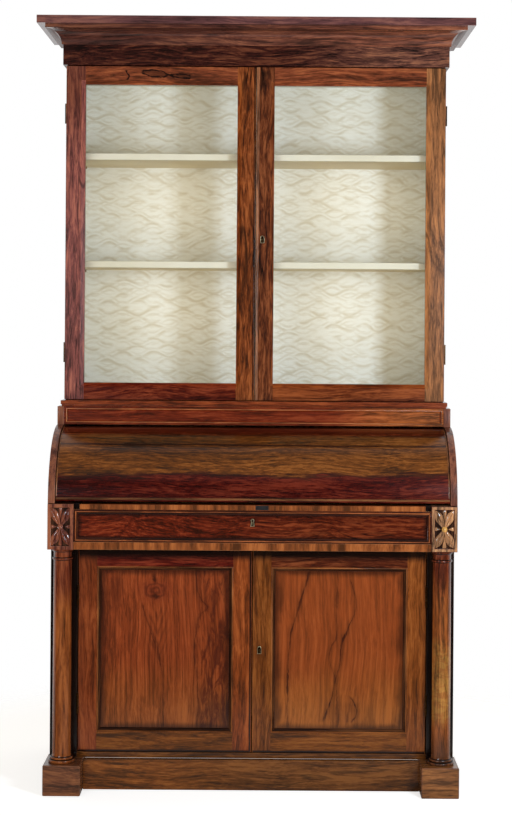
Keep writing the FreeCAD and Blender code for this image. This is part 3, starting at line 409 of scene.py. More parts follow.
def black_lines(tree, along, point):
    """The thin near-black lines that wander through rosewood: contours of a slow field."""
    field = tree.noise(tree.grain(along, 11, point), 1.5, detail=2.5, roughness=0.55, distortion=0.5)
    contour = abs((field * 9).fraction() - 0.5)
    line = 1 - contour.ramped(0.02, 0.16)
    patch = tree.noise(tree.grain(along, 4), 2.2, detail=1).ramped(0.46, 0.66)
    return line * patch


def polish(tree, colour, along, dull=0.0, gloss=0.4, film=0.0):
    """A French-polished face: a thin glossy film that follows the open pores."""
    fibres = tree.noise(tree.grain(along, 50), 16, detail=2)
    pores = tree.noise(tree.grain(along, 26), 95, detail=1).ramped(0.62, 0.74)
    return tree.surface(
        Base_Color=colour,
        Roughness=fibres * 0.1 + pores * 0.08 + (0.13 + dull),
        Specular_IOR_Level=gloss,
        Coat_Weight=film,
        Coat_Roughness=0.08,
        Normal=tree.bump(fibres * 0.4 - pores, 0.05, 0.3 * MM),
    )


def fading_wood(first, second, along, start, end, film=0.0):
    """A board whose colour changes from one wood to another along its length."""
    tree = new_tree(f"{first}_to_{second}")
    place = tree.axes(tree.place())["xyz".index(along)]
    near, far = [streaks(tree, wood, along) for wood in (first, second)]
    colour = tree.blend(place.ramped(start, end), near, far)
    return polish(tree, colour, along, film=film)


def cross_banding():
    """A narrow band of veneer laid across the edge, in broad soft stripes."""
    tree = new_tree("cross_banding")
    return polish(tree, streaks(tree, "cross_band", "z", fineness=0.45), "z")


def cylinder_veneer():
    """Veneer in two sheets: dark red at the foot of the cylinder and olive brown over its crown.
    The olive is partly the wood and partly a painted sheen of the light from above; at the very top it
    gives way to the dark foot wood again, where that painted sheen stops.
    """
    tree = new_tree("cylinder_veneer")
    low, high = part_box("cylinder_shell")
    _, _, z = tree.axes(tree.place())
    rise = (z - low.z) / (high.z - low.z)
    slow = tree.wander(0.2, tree.grain("x", 3), 2.6, detail=2)
    ragged = tree.wander(0.3, tree.grain("x", 9), 9, detail=4, roughness=0.65)
    level = rise + slow + ragged
    # Painted sheen: the crown sheet stands partly for light from above, and it stops in a band at the top.
    top_without_sheen = (rise + slow * 0.3).ramped(0.87, 0.93)
    sheet = level.ramped(0.29, 0.4) * (1 - top_without_sheen * 0.9)
    foot, crown = [streaks(tree, wood, "x", fineness=1.7) for wood in ("cylinder_foot", "cylinder_crown_with_sheen")]
    colour = tree.blend(sheet, foot, crown)
    seam = (1 - abs(level - 0.33).ramped(0.01, 0.05)) * 0.6
    crown_seam = (1 - abs(rise + slow * 0.3 - 0.77).ramped(0.005, 0.022)) * 0.75
    colour = tree.blend(seam.larger(crown_seam), colour, seen(30, 9, 6))
    return polish(tree, colour, "x")


def panel_veneer(side):
    """Figured veneer of one door panel: wandering veins, and on the left a knot with its flame."""
    tree = new_tree(f"{side}_panel_veneer")
    low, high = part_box(f"{side}_cupboard_door_moulding")
    rim = 12 * MM
    across, height = shares(tree, low, high, rim)
    cloudy = tree.wander(0.3, tree.place(), 6, detail=2)
    redder = (height + cloudy).ramped(0.0, 0.5) * 0.8 + 0.2
    low_sheet, high_sheet = [streaks(tree, wood, "z", fineness=1.7)
                             for wood in (f"{side}_panel_foot", f"{side}_panel")]
    colour = tree.blend(redder, low_sheet, high_sheet)
    ink = seen(52, 20, 10)
    for strength, points in PANEL_VEINS[side]:
        colour = tree.blend(vein(tree, across, height, points) * strength, colour, ink)
    if side == "left":
        halo, rings = knot(tree, across, height)
        colour = tree.blend(halo * 0.5, colour, seen(104, 36, 20))
        colour = tree.blend(rings * 0.85, colour, ink)
        colour = tree.blend(flame(tree, across, height) * 0.35, colour, ink)
        curled = tree.noise(tree.grain("z", 4), 12, detail=5, roughness=0.7, distortion=1.2)
        far_side = across.ramped(0.68, 0.82) * 0.8
        top_corner = (1 - across.ramped(0.06, 0.24)) * height.ramped(0.66, 0.84) * 0.6
        curls = far_side.larger(top_corner) * curled.ramped(0.4, 0.62)
        colour = tree.blend(curls, colour, seen(66, 22, 12))
    return polish(tree, shade_and_old_polish_at_edges(tree, colour, across, height), "z")


def shares(tree, low, high, rim):
    """How far across and how far up a face each point is, from 0 to 1 inside its rim."""
    x, _, z = tree.axes(tree.place())
    across = (x - (low.x + rim)) / (high.x - low.x - 2 * rim)
    height = (z - (low.z + rim)) / (high.z - low.z - 2 * rim)
    return across, height


def vein(tree, across, height, points):
    """One dark vein: its line jumps and thins and breaks as the fibres do."""
    first, last = points[0][0], points[-1][0]
    jump = tree.wander(0.034, tree.grain("z", 2), 26, detail=4, roughness=0.65)
    width = tree.noise(tree.grain("z", 1), 13, detail=2).ramped(0.4, 0.7) * 0.019 + 0.003
    gap = abs(across + jump - height.along(points))
    fibres = tree.noise(tree.grain("z", 30), 9, detail=2).ramped(0.3, 0.6)
    within = height.ramped(first - 0.02, first + 0.02) * (1 - height.ramped(last - 0.02, last + 0.02))
    line = (1 - (gap / width).ramped(0.2, 1.0)) * (fibres * 0.5 + 0.5)
    shade = (1 - (gap / (width + 0.01)).ramped(0.0, 2.0)) * 0.35
    return line.larger(shade) * within


def shade_and_old_polish_at_edges(tree, colour, across, height, wide=1.0, tall=1.6):
    """Painted shade along the edges of a sunk face, where the moulding round it casts shadow,
    with old polish that has gathered and darkened there too.
    """
    inside = (across.smaller(1 - across) * wide).smaller(height.smaller(1 - height) * tall)
    patchy = tree.wander(0.08, tree.place(), 14, detail=3)
    corner = 1 - (inside + patchy).ramped(0.0, 0.07)
    return tree.blend(corner * 0.7, colour, seen(30, 11, 6))


def knot(tree, across, height):
    """A red halo, and uneven rings round a small knot with a dark heart and a dark streak above it."""
    centre = (0.42, 0.868)
    half_width = 0.075
    half_height = 0.046
    aside = (across - centre[0]) / half_width + tree.wander(1.2, tree.place(), 38, detail=3)
    above = (height - centre[1]) / half_height + tree.wander(1.2, tree.grain("z", 2), 31, detail=3)
    reach = (aside * aside + above * above).root()
    halo = 1 - reach.ramped(0.6, 2.4)
    rings = 1 - abs((reach * 1.5).fraction() - 0.5).ramped(0.05, 0.45)
    rings = rings * (1 - reach.ramped(0.7, 1.7)) * 0.6
    heart = 1 - (abs(aside) + abs(above + 0.75)).ramped(0.15, 0.75)
    streak = 1 - (abs(aside) * 2 + abs(above - 1.7) * 0.8).ramped(0.2, 1.1)
    return halo, rings.larger(heart).larger(streak)


def flame(tree, across, height):
    """Nested points of the growth rings below the knot."""
    uneven = tree.wander(0.06, tree.grain("z", 3), 12, detail=3)
    aside = abs(across - 0.44 + uneven)
    rings = 1 - abs(((height - aside * 2.4 + uneven) * 11).fraction() - 0.5).ramped(0.05, 0.4)
    within = height.ramped(0.35, 0.55) * (1 - height.ramped(0.7, 0.84))
    return rings * (1 - aside.ramped(0.03, 0.13)) * within


def drawer_veneer():
    """The sunk face of the drawer, with painted shade and old polish dark along its edges."""
    tree = new_tree("drawer_veneer")
    low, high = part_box("drawer_front")
    across, height = shares(tree, low, high, 13 * MM)
    x, _, _ = tree.axes(tree.place())
    left, right = [streaks(tree, wood, "x", bend=110 * MM, fineness=1.6)
                   for wood in ("left_drawer", "drawer")]
    colour = tree.blend(x.ramped(-0.3, 0.2), left, right)
    colour = shade_and_old_polish_at_edges(tree, colour, across, height, wide=6.0, tall=0.6)
    return polish(tree, colour, "x")


def cupboard_wood(wood, along):
    """Wood of the cupboard doors, with painted shade in near-black under the drawer bed, in the gap
    where the doors meet and along their foot."""
    tree = new_tree(f"cupboard_{wood}_along_{along}")
    x, _, z = tree.axes(tree.place())
    low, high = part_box("left_cupboard_door_stiles")
    waver = tree.noise(tree.grain("x", 3), 9, detail=2) * (10 * MM)
    # Painted shade: the drawer bed's shadow over the door tops, the shadow in the gap between the doors and
    # the shadow along their foot.
    shade_under_bed = (z + waver).ramped(high.z - 38 * MM, high.z - 14 * MM)
    meeting = 1 - abs(x + 3 * MM).ramped(3 * MM, 7 * MM)
    foot = 1 - z.ramped(low.z + 2 * MM, low.z + 8 * MM)
    painted_shade_on_doors = shade_under_bed.larger(meeting).larger(foot)
    colour = tree.blend(painted_shade_on_doors * 0.93, streaks(tree, wood, along), seen(14, 5, 4))
    return polish(tree, colour, along)


def meeting_wood(side):
    """Wood of a meeting stile, with painted shade in near-black where the glazed doors meet, for the shadow
    in the gap.
    """
    wood = f"{side}_meeting_stile"
    tree = new_tree(f"{wood}_wood")
    x, _, _ = tree.axes(tree.place())
    # Painted shade along the meeting edge.
    shade_in_glazed_gap = 1 - abs(x).ramped(4 * MM, 8 * MM)
    colour = tree.blend(shade_in_glazed_gap * 0.9, streaks(tree, wood, "z"), seen(16, 6, 4))
    return polish(tree, colour, "z")


def column_wood():
    """Column veneer: dark red at the neck, partly from painted shade under the corner blocks, golden below,
    with painted shade in black in the grooves between the turned rings. The right column has a pale rippled
    patch low down and a foot darkened by painted shade."""
    tree = new_tree("column_wood")
    low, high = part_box("columns")
    x, _, z = tree.axes(tree.place())
    cloudy = tree.wander(160 * MM, tree.grain("z", 3), 7, detail=3)
    neck = (z + cloudy).ramped(high.z - 190 * MM, high.z - 60 * MM)
    left, right, top, pale = [streaks(tree, wood, "z")
                              for wood in ("left_column", "right_column", "column_neck_red_and_shaded", "column_ripple")]
    colour = tree.blend(neck, tree.blend(x.ramped(-0.1, 0.1), left, right), top)
    on_right = x.ramped(0.0, 0.1)
    ripple = tree.noise(tree.stretched(tree.place(), (16, 16, 34)), 2.2, detail=3, distortion=0.8)
    patch = on_right * (z + cloudy).ramped(0.2, 0.26) * (1 - (z + cloudy).ramped(0.38, 0.46))
    colour = tree.blend(patch * (ripple.ramped(0.4, 0.6) * 0.6 + 0.4), colour, pale)
    # Painted shade darkening the foot of the right column.
    painted_foot_shade = on_right * (1 - (z + cloudy * 0.4).ramped(low.z + 20 * MM, low.z + 110 * MM))
    colour = tree.blend(painted_foot_shade * 0.55, colour, seen(48, 36, 32))
    # Painted shade in near-black along the grooves between the turned rings.
    grooves = None
    for height in (low.z + 9 * MM, low.z + 17 * MM, high.z - 33 * MM, high.z - 26 * MM, high.z - 9 * MM):
        groove = 1 - abs(z - height).ramped(0.6 * MM, 2.2 * MM)
        grooves = groove if grooves is None else grooves.larger(groove)
    colour = tree.blend(grooves * 0.9, colour, seen(14, 6, 4))
    return polish(tree, colour, "z")


def looped_rail():
    """The top rail of the left door, with the black loops of a cut across the grain."""
    tree = new_tree("looped_rail")
    colour = streaks(tree, "top_rail", "x")
    x, _, z = tree.axes(tree.place())
    start = -344 * MM
    length = 148 * MM
    share = (x - start) / length
    within = share.ramped(-0.02, 0.03) * (1 - share.ramped(0.97, 1.02))
    waver = tree.wander(12 * MM, tree.grain("x", 1), 45, detail=3, roughness=0.6)
    thick = tree.noise(tree.grain("x", 1), 60, detail=2).ramped(0.35, 0.65) * (3 * MM) + 1.5 * MM
    level = 2105 * MM
    fall = 13 * MM
    axis = level - share * fall + waver
    lobes = share.along([(0, 0.05), (0.08, 0.6), (0.25, 1), (0.45, 0.7), (0.58, 0.12), (0.7, 0.5),
                         (0.88, 0.5), (1, 0.05)])
    inside = abs(z - axis) - lobes * (10 * MM)
    loop = (1 - (abs(inside) / thick).ramped(0.4, 1.2)) * within
    fill = (1 - inside.ramped(-4 * MM, 0)) * within
    hook_path = abs(x + 382 * MM + abs(z - 2092 * MM) * 0.5 + waver * 1.5)
    hook = (1 - (hook_path / thick).ramped(0.5, 1.4)) * (1 - abs(z - 2097 * MM).ramped(12 * MM, 18 * MM))
    low_path = abs(z - 2073 * MM - (x + 0.49) * 0.06 + waver)
    low_line = (1 - (low_path / thick).ramped(0.3, 1.0)) * (1 - x.ramped(-0.4, -0.37))
    colour = tree.blend(fill * 0.55, colour, seen(60, 28, 16))
    colour = tree.blend(loop.larger(hook).larger(low_line) * 0.93, colour, seen(20, 7, 5))
    return polish(tree, colour, "x")


# Other finishes

def cream_paint(name, old, fresh):
    """Cream paint with brush marks along the shelf and a little yellowing."""
    tree = new_tree(name)
    place = tree.place()
    brush = tree.noise(tree.stretched(place, (3, 90, 90)), 6, detail=3)
    age = tree.noise(place, 5, detail=3)
    colour = tree.shades(age, (0.35, seen(*old)), (0.65, seen(*fresh)))
    return tree.surface(Base_Color=colour, Roughness=brush * 0.2 + 0.4,
                        Normal=tree.bump(brush, 0.12))


def wave_paper():
    """Cream lining paper printed with rows of soft tan wave strokes that cross."""
    tree = new_tree("wave_lining_paper")
    place = tree.place()
    x, _, z = tree.axes(place)
    row = 46 * MM
    wave = 96 * MM
    sway = tree.noise(tree.stretched(place, (1, 1, 2)), 7, detail=2) * 0.6
    swing = (x * (2 * math.pi / wave) + sway * 3).sine() * 0.2
    strokes = None
    for direction, shift in ((1, 0), (-1, 0.5)):
        level = z / row + swing * direction + sway + shift
        bold = 1 - abs(level.fraction() - 0.5).ramped(0.02, 0.17)
        thin = 1 - abs((level * 2.5).fraction() - 0.5).ramped(0.05, 0.3)
        broken = tree.noise(tree.stretched(place, (1, 1 + direction, 3)), 16, detail=2).ramped(0.34, 0.64)
        lines = bold.larger(thin * 0.6) * broken
        strokes = lines if strokes is None else strokes.larger(lines)
    cloud = tree.noise(place, 4, detail=3)
    paper = tree.shades(cloud, (0.3, seen(232, 231, 222)), (0.7, seen(239, 240, 235)))
    grit = tree.noise(place, 900, detail=2)
    return tree.surface(Base_Color=tree.blend(strokes * 0.55, paper, seen(192, 178, 144)), Roughness=0.75,
                        Normal=tree.bump(grit, 0.1))


def window_glass():
    """Old window glass: clear, with a slightly uneven reflecting face."""
    tree = new_tree("old_window_glass")
    ripple = tree.noise(tree.place(), 7, detail=1)
    uneven = tree.bump(ripple, 0.04, 10 * MM)
    mirror = tree.add("ShaderNodeFresnel", inputs={"IOR": 1.45, "Normal": uneven})
    return tree.surface(Base_Color=seen(240, 246, 242), Metallic=1.0, Roughness=0.03,
                        Alpha=mirror * 0.8, Normal=uneven)


def old_brass(name, bright, brown, tarnish_share):
    """Brass gone brown in the corners, with fine rubbing marks."""
    tree = new_tree(name)
    place = tree.place()
    tarnish = tree.noise(place, 140, detail=4).ramped(0.4, 0.75) * tarnish_share
    rubbing = tree.noise(tree.stretched(place, (40, 40, 4)), 60, detail=2)
    colour = tree.blend(tarnish, seen(*bright), seen(*brown))
    return tree.surface(Base_Color=colour, Metallic=1.0, Roughness=rubbing * 0.2 + tarnish * 0.2 + 0.2,
                        Normal=tree.bump(rubbing, 0.06, 0.2 * MM))


def black_iron():
    tree = new_tree("black_iron")
    scale = tree.noise(tree.place(), 220, detail=4)
    colour = tree.shades(scale, (0.35, seen(15, 11, 11)), (0.6, seen(28, 21, 20)), (0.75, seen(52, 32, 24)))
    return tree.surface(Base_Color=colour, Metallic=0.2, Roughness=scale * 0.4 + 0.4,
                        Normal=tree.bump(scale, 0.3, 0.4 * MM))


def green_leather():
    """Skiver leather for writing on: fine creased grain and rubbed patches."""
    tree = new_tree("green_writing_leather")
    place = tree.place()
    creases = tree.add("ShaderNodeTexVoronoi", {"feature": "DISTANCE_TO_EDGE"},
                       {"Vector": place, "Scale": 420.0})
    worn = tree.noise(place, 9, detail=4).ramped(0.42, 0.75)
    colour = tree.blend(worn * 0.6, seen(46, 66, 44), seen(92, 98, 62))
    return tree.surface(Base_Color=colour, Roughness=worn * 0.2 + 0.42,
                        Normal=tree.bump(creases.ramped(0.0, 0.25), 0.35, 0.4 * MM))


def gilt():
    tree = new_tree("gilt_tooling")
    loss = tree.noise(tree.place(), 260, detail=3).ramped(0.5, 0.7)
    colour = tree.blend(loss * 0.8, seen(206, 164, 84), seen(74, 70, 42))
    return tree.surface(Base_Color=colour, Metallic=0.8, Roughness=loss * 0.3 + 0.3)


lock_brass = old_brass("lock_brass", (220, 190, 122), (120, 88, 46), 0.7)
thread_brass = old_brass("thread_brass", (238, 222, 176), (170, 138, 86), 0.4)
hinge_brass = old_brass("hinge_brass", (96, 66, 36), (48, 30, 18), 1.0)
plate_brass = old_brass("plate_brass", (66, 40, 24), (36, 20, 12), 1.0)
gilt_finish = gilt()
# A warmer cream for the shelf undersides, painted to stand for the warm shade under them.
underside_shade_cream = cream_paint("underside_shade_cream_paint", (222, 203, 164), (232, 217, 184))
finishes = {
    "cornice_rosewood": filmed_wood("cornice_edge_with_sheen", "x"),
    "rosewood_upright": rosewood("left_meeting_stile", "z"),
    "rosewood_lengthwise": rosewood("top_rail", "x"),
    "cylinder_veneer": cylinder_veneer(),
    "drawer_veneer": drawer_veneer(),
    "panel_veneer": rosewood("left_panel", "z"),
    "cross_banding": cross_banding(),
    "carved_rosewood": rosewood("left_carved", "z"),
    "carcass_wood": rosewood("carcass", "x"),
    "painted_shelf": cream_paint("cream_shelf_paint", (210, 206, 190), (219, 217, 206)),
    "lining_paper": wave_paper(),
    "window_glass": window_glass(),
    "brass": lock_brass,
    "iron": black_iron(),
    "desk_leather": green_leather(),
}

low_door_finish = cupboard_wood("low_door_rail", "x")

for node, solid in frame["nodes"].items():
    finish = finishes[slot_of[node]]
    if "hinge_leaves" in node:
        finish = hinge_brass
    if node == "slide_and_drawer_runners":
        finish = rosewood("shaded_stile", "y")
    solid.data.materials.clear()
    solid.data.materials.append(finish)


# Making pieces

def new_piece(name, bm, materials, body):
    mesh = bpy.data.meshes.new(name)
    bm.to_mesh(mesh)
    bm.free()
    for material in materials:
        mesh.materials.append(material)
    piece = bpy.data.objects.new(name, mesh)
    bpy.context.scene.collection.objects.link(piece)
    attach(piece, body)
    return piece


def curved_piece(name, bm, materials, body, sharp):
    """A piece of smooth faces, with a sharp edge wherever they turn by more than an angle."""
    bmesh.ops.recalc_face_normals(bm, faces=bm.faces)
    piece = new_piece(name, bm, materials, body)
    piece.data.set_sharp_from_angle(angle=math.radians(sharp))
    return piece


def ease(piece, width, material_index):
    """Round the marked edges, give them the rubbed finish with its painted sheen, and keep the flat faces
    flat in the light.
    """
    bevel = piece.modifiers.new("eased_edges", "BEVEL")
    bevel.width = width
    bevel.segments = 2
    bevel.limit_method = "WEIGHT"
    bevel.use_clamp_overlap = False
    bevel.material = material_index
    flat = piece.modifiers.new("flat_faces", "WEIGHTED_NORMAL")
    flat.weight = 100
    flat.keep_sharp = True


def mark_edges(bm, shortest, flush=()):
    """Mark the long square outside edges for rounding and keep every other corner sharp.
    Edges on a flush joint, given by its place across, stay sharp too."""
    weights = bm.edges.layers.float.new("bevel_weight_edge")
    for edge in bm.edges:
        if len(edge.link_faces) != 2:
            continue
        turn = math.degrees(edge.calc_face_angle())
        joint = any(abs(end.co.x - line) < FINE for line in flush for end in edge.verts)
        if turn > 40 and edge.is_convex and edge.calc_length() > shortest and not joint:
            edge[weights] = 1.0
        elif turn > 12:
            edge.smooth = False


def solid_copy(node):
    """The faces of a solid, joined into as few flat faces as possible."""
    bm = bmesh.new()
    bm.from_mesh(frame["nodes"][node].data)
    bmesh.ops.remove_doubles(bm, verts=bm.verts, dist=0.01 * MM)
    bmesh.ops.dissolve_limit(bm, angle_limit=math.radians(1), verts=bm.verts, edges=bm.edges)
    for face in bm.faces:
        face.smooth = True
    return bm


def polished(node, wood, along, width, front=None, sunk=None, flush=(), shortest=12 * MM):
    """A copy of a solid with eased edges. Its end faces turn their grain to run front to back.
    The front faces can have their own finish, and so can those behind a sunk depth."""
    side_grain = "y" if along == "x" else along
    materials = [rosewood(wood, along), rosewood(wood, side_grain), rubbed(wood, along),
                 front or rosewood(wood, along)]
    bm = solid_copy(node)
    face_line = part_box(node)[0].y
    for face in bm.faces:
        if abs(face.normal.x) > 0.7:
            face.material_index = 1
        elif face.normal.y < -0.7:
            face.material_index = 3
            if sunk and face.calc_center_median().y > face_line + sunk[0]:
                face.material_index = 4
    mark_edges(bm, shortest, flush)
    if sunk:
        materials.append(sunk[1])
    piece = new_piece(f"{node}_polished", bm, materials, frame["nodes"][node]["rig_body"])
    ease(piece, width, 2)
    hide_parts(node)
    return piece


def arc(centre, radius, start, end, steps=8):
    """Points on an arc, angles in degrees."""
    angles = [math.radians(start + (end - start) * step / steps) for step in range(steps + 1)]
    return [(centre[0] + radius * math.cos(a), centre[1] + radius * math.sin(a)) for a in angles]


def skin(bm, rings, closed):
    """Faces between each ring of points and the next; a closed ring joins its last point to its first."""
    for here, there in zip(rings, rings[1:]):
        count = len(here)
        for k in range(count if closed else count - 1):
            after = (k + 1) % count
            bm.faces.new((here[k], there[k], there[after], here[after])).smooth = True


def moulding(name, section, corners, up, closed, materials, body):
    """A moulding run round mitred corners. Section points are (outward, up), a closed outline.
    Materials are keyed by the axis that each length runs along."""
    up = Vector(up)
    corners = [Vector(corner) for corner in corners]
    count = len(corners)
    lengths = count if closed else count - 1
    runs = [(corners[(n + 1) % count] - corners[n]).normalized() for n in range(lengths)]
    bm = bmesh.new()
    rings = []
    for n, corner in enumerate(corners):
        before = runs[n - 1] if closed or n > 0 else runs[0]
        after = runs[n] if n < len(runs) else runs[-1]
        out_before = before.cross(up)
        out_after = after.cross(up)
        mitre = (out_before + out_after) / (1 + out_before.dot(out_after))
        rings.append([bm.verts.new(corner + mitre * out + up * rise) for out, rise in section])
    axes = sorted(materials)
    for n, run in enumerate(runs):
        axis = "xyz"[max(range(3), key=lambda i: abs(run[i]))]
        here, there = rings[n], rings[(n + 1) % count]
        for k in range(len(section)):
            after = (k + 1) % len(section)
            face = bm.faces.new((here[k], there[k], there[after], here[after]))
            face.material_index = axes.index(axis)
            face.smooth = True
    if not closed:
        bm.faces.new(rings[0])
        bm.faces.new(list(reversed(rings[-1])))
    return curved_piece(name, bm, [materials[axis] for axis in axes], body, 32)


def frame_corners(low, high, face):
    """Corners of an upright rectangle, for a moulding whose outward is away from its middle."""
    return [(low[0], face, low[1]), (high[0], face, low[1]),
            (high[0], face, high[1]), (low[0], face, high[1])]


def both_grains(wood):
    return {"x": rosewood(wood, "x"), "z": rosewood(wood, "z")}


# Cornice and meeting bead

def cornice():
    low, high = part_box("cornice_moulding")
    bookcase_low, bookcase_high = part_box("bookcase_sides")
    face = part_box("left_glazed_door_stiles")[0].y
    base, top = low.z, high.z
    tuck = -40 * MM
    plain = 9 * MM
    step_level = base + 60 * MM
    step = 13.5 * MM
    hollow = 41 * MM
    hollow_low = base + 63 * MM
    lip = step + hollow + 3 * MM
    frieze = [(tuck, base), (plain, base), (plain, step_level), (tuck, step_level)]
    crown = [(tuck, step_level), (step, step_level)]
    crown += arc((step + hollow, hollow_low), hollow, 180, 90, 14)
    crown += [(lip, hollow_low + hollow), (lip, top), (tuck, top)]
    corners = [(bookcase_low.x, high.y, 0), (bookcase_low.x, face, 0),
               (bookcase_high.x, face, 0), (bookcase_high.x, high.y, 0)]
    frieze_finish = fading_wood("cornice_frieze", "cornice_frieze_end", "x", 0.05, 0.5)
    crown_finish = fading_wood("cornice_hollow", "cornice_hollow_end", "x", -0.3, 0.5, film=0.4)
    runs = (("frieze", frieze, "cornice_frieze", frieze_finish),
            ("crown", crown, "cornice_hollow", crown_finish))
    for name, section, wood, front_finish in runs:
        materials = {"x": front_finish, "y": dull_wood(wood, "y")}
        piece = moulding(f"cornice_{name}_run", section, corners, UPWARD, False, materials, "case")
        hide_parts("cornice_moulding")
    board = polished("cornice_top_board", "cornice_edge_with_sheen", "x", CRISP, front=finishes["cornice_rosewood"])
    paint_faces(board, dull_wood("cornice_edge_with_sheen", "x"), lambda face: face.normal.z > 0.7)


def meeting_bead():
    """A narrow round bead between two low fillets."""
    low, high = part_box("meeting_astragal")
    width = high.x - low.x
    fillet = 2.2 * MM
    level = 1.2 * MM
    radius = width / 2 - fillet
    round_part = [(width / 2 - across, level + rise * 1.3)
                  for across, rise in arc((0, 0), radius, 0, 180, 10)]
    section = [(0, 0), (0, level)] + round_part + [(width, level), (width, 0)]
    corners = [(low.x, high.y, low.z), (low.x, high.y, high.z)]
    piece = moulding("meeting_bead_run", section, corners, FORWARD, False,
                     {"z": rosewood("meeting_bead", "z")}, "right_glazed_door")
    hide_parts("meeting_astragal")


def meeting_lip():
    """A dark rounded lip on the edge of the left door, which closes the gap between the doors.
    Its near-black wood is painted shade, for the shadow in that gap.
    At the lock it is cut back, so that the bolt passes behind it."""
    low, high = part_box("left_glazed_door_stiles")
    bolt_low, bolt_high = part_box("glazed_door_bolt")
    reach = 2.7 * MM
    front = high.y - 17 * MM
    behind = high.y - 4 * MM
    room = 2 * MM
    notch = (bolt_low.z - room, bolt_high.z + room)
    lengths = (("lower", low.z, notch[0], behind), ("notched", *notch, bolt_low.y - 0.7 * MM),
               ("upper", notch[1], high.z, behind))
    for word, start, end, seat in lengths:
        depth = seat - front
        section = [(0, 0), (0, depth), (reach * 0.5, depth + 1.2 * MM), (reach, depth), (reach, 0)]
        corners = [(high.x, seat, start), (high.x, seat, end)]
        moulding(f"left_door_{word}_meeting_lip", section, corners, FORWARD, False,
                 {"z": rosewood("shaded_stile", "z")}, "left_glazed_door")


# Cylinder

def cylinder():
    low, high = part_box("cylinder_shell")
    axis = (-64 * MM, 838 * MM)
    outer = 206 * MM
    inner = 190 * MM
    lip = 18 * MM
    lap = 12 * MM
    start = 180 - math.degrees(math.asin(lip / outer))
    end = 90 - math.degrees(math.asin(lap / outer))
    outline = arc(axis, outer, start, end, 40) + arc(axis, inner, end, start, 40)
    bm = bmesh.new()
    ends = [[bm.verts.new((x, y, z)) for y, z in outline] for x in (low.x, high.x)]
    skin(bm, ends, True)
    for ring in ends:
        bm.faces.new(ring)
    piece = curved_piece("cylinder_veneered", bm, [finishes["cylinder_veneer"]], "cylinder",
                         32)
    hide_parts("cylinder_shell")
    for word, edge, inward in (("left", low.x, 1), ("right", high.x, -1)):
        end_bead(word, edge, inward, axis, outer, start, end)
    polished("cylinder_nosing", "cylinder_foot", "x", CRISP)
    nosing_bead()


def nosing_bead():
    """A low round bead along the bottom rail of the cylinder."""
    low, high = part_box("cylinder_nosing")
    half = 3.2 * MM
    rise = 1.4 * MM
    section = [(-MM, -half), (rise * 0.5, -half * 0.85), (rise, 0), (rise * 0.5, half * 0.85), (-MM, half)]
    level = (low.z + high.z) / 2 + MM
    corners = [(low.x, low.y, level), (high.x, low.y, level)]
    moulding("cylinder_nosing_bead", section, corners, UPWARD, False, {"x": rosewood("nosing", "x")},
             "cylinder")


def end_bead(word, edge, inward, axis, radius, start, end):
    """The thin raised bead that follows the curve at one end of the cylinder."""
    section = [(0, 0), (0, 0.8), (0.8, 1.3), (2.6, 1.3), (3.4, 0.8), (3.4, 0)]
    steps = 40
    sunk = 0.2 * MM
    bm = bmesh.new()
    rings = []
    for step in range(steps + 1):
        turn = math.radians(start + (end - start) * step / steps)
        ring = []
        for across, rise in section:
            reach = radius - sunk + rise * MM
            ring.append(bm.verts.new((edge + inward * across * MM, axis[0] + reach * math.cos(turn),
                                      axis[1] + reach * math.sin(turn))))
        rings.append(ring)
    skin(bm, rings, True)
    bm.faces.new(rings[0])
    bm.faces.new(rings[-1])
    curved_piece(f"cylinder_{word}_bead", bm, [rosewood("nosing", "z")], "cylinder",
                 50)


# Drawer, slide and bed

def drawer():
    polished("drawer_front", "drawer", "x", CRISP, front=finishes["drawer_veneer"])
    low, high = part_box("drawer_front")
    rim = 7 * MM
    hollow = 6 * MM
    bead = [(3.6 * MM, -MM), (3.6 * MM, 0.4 * MM), (2.8 * MM, MM), (1.4 * MM, MM), (0.6 * MM, 0.3 * MM),
            (0.6 * MM, -MM)]
    cove = [(0.6 * MM, -MM), (0.6 * MM, 0.1 * MM)] + arc((0, -hollow), hollow + 0.1 * MM, 90, 180, 7)
    cove += [(-hollow, -hollow - 0.3 * MM), (0, -hollow)]
    corners = frame_corners((low.x + rim, low.z + rim), (high.x - rim, high.z - rim), low.y)
    # The bead's pale wood is a painted highlight, for the light its round catches.
    for name, section, wood in (("bead", bead, "drawer_bead"), ("cove", cove, "drawer_shade")):
        moulding(f"drawer_{name}", section, corners, FORWARD, True, both_grains(wood), "drawer")


def slide_and_bed():
    cross_band = finishes["cross_banding"]
    polished("writing_slide", "waist", "x", FINE, front=cross_band)
    polished("drawer_bed", "carcass", "x", CRISP, front=cross_band)
    slide_lock()
    leather_line()


def slide_lock():
    """Dark lock plate in the front edge of the slide: a slot for the cylinder's hook and two screws."""
    low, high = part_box("slide_lock_plate")
    middle = (low + high) / 2
    bm = bmesh.new()
    for vert in bmesh.ops.create_cube(bm, size=1)["verts"]:
        vert.co = Vector([middle[n] + vert.co[n] * (high[n] - low[n]) for n in range(3)])
    face = min(bm.faces, key=lambda f: f.calc_center_median().y)
    bmesh.ops.inset_region(bm, faces=[face], thickness=3.6 * MM, depth=0)
    for vert in face.verts:
        vert.co.x = middle.x + (vert.co.x - middle.x) * 0.45
    sunk = bmesh.ops.extrude_face_region(bm, geom=[face])
    for item in sunk["geom"]:
        if isinstance(item, bmesh.types.BMVert):
            item.co.y += 1.2 * MM
    for side in (-1, 1):
        add_screw(bm, Vector((middle.x + side * 13.5 * MM, low.y, middle.z)), 2.4 * MM)
    for edge in bm.edges:
        edge.smooth = False
    plate_piece = new_piece("slide_lock_face", bm, [finishes["iron"]], "slide")
    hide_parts("slide_lock_plate")


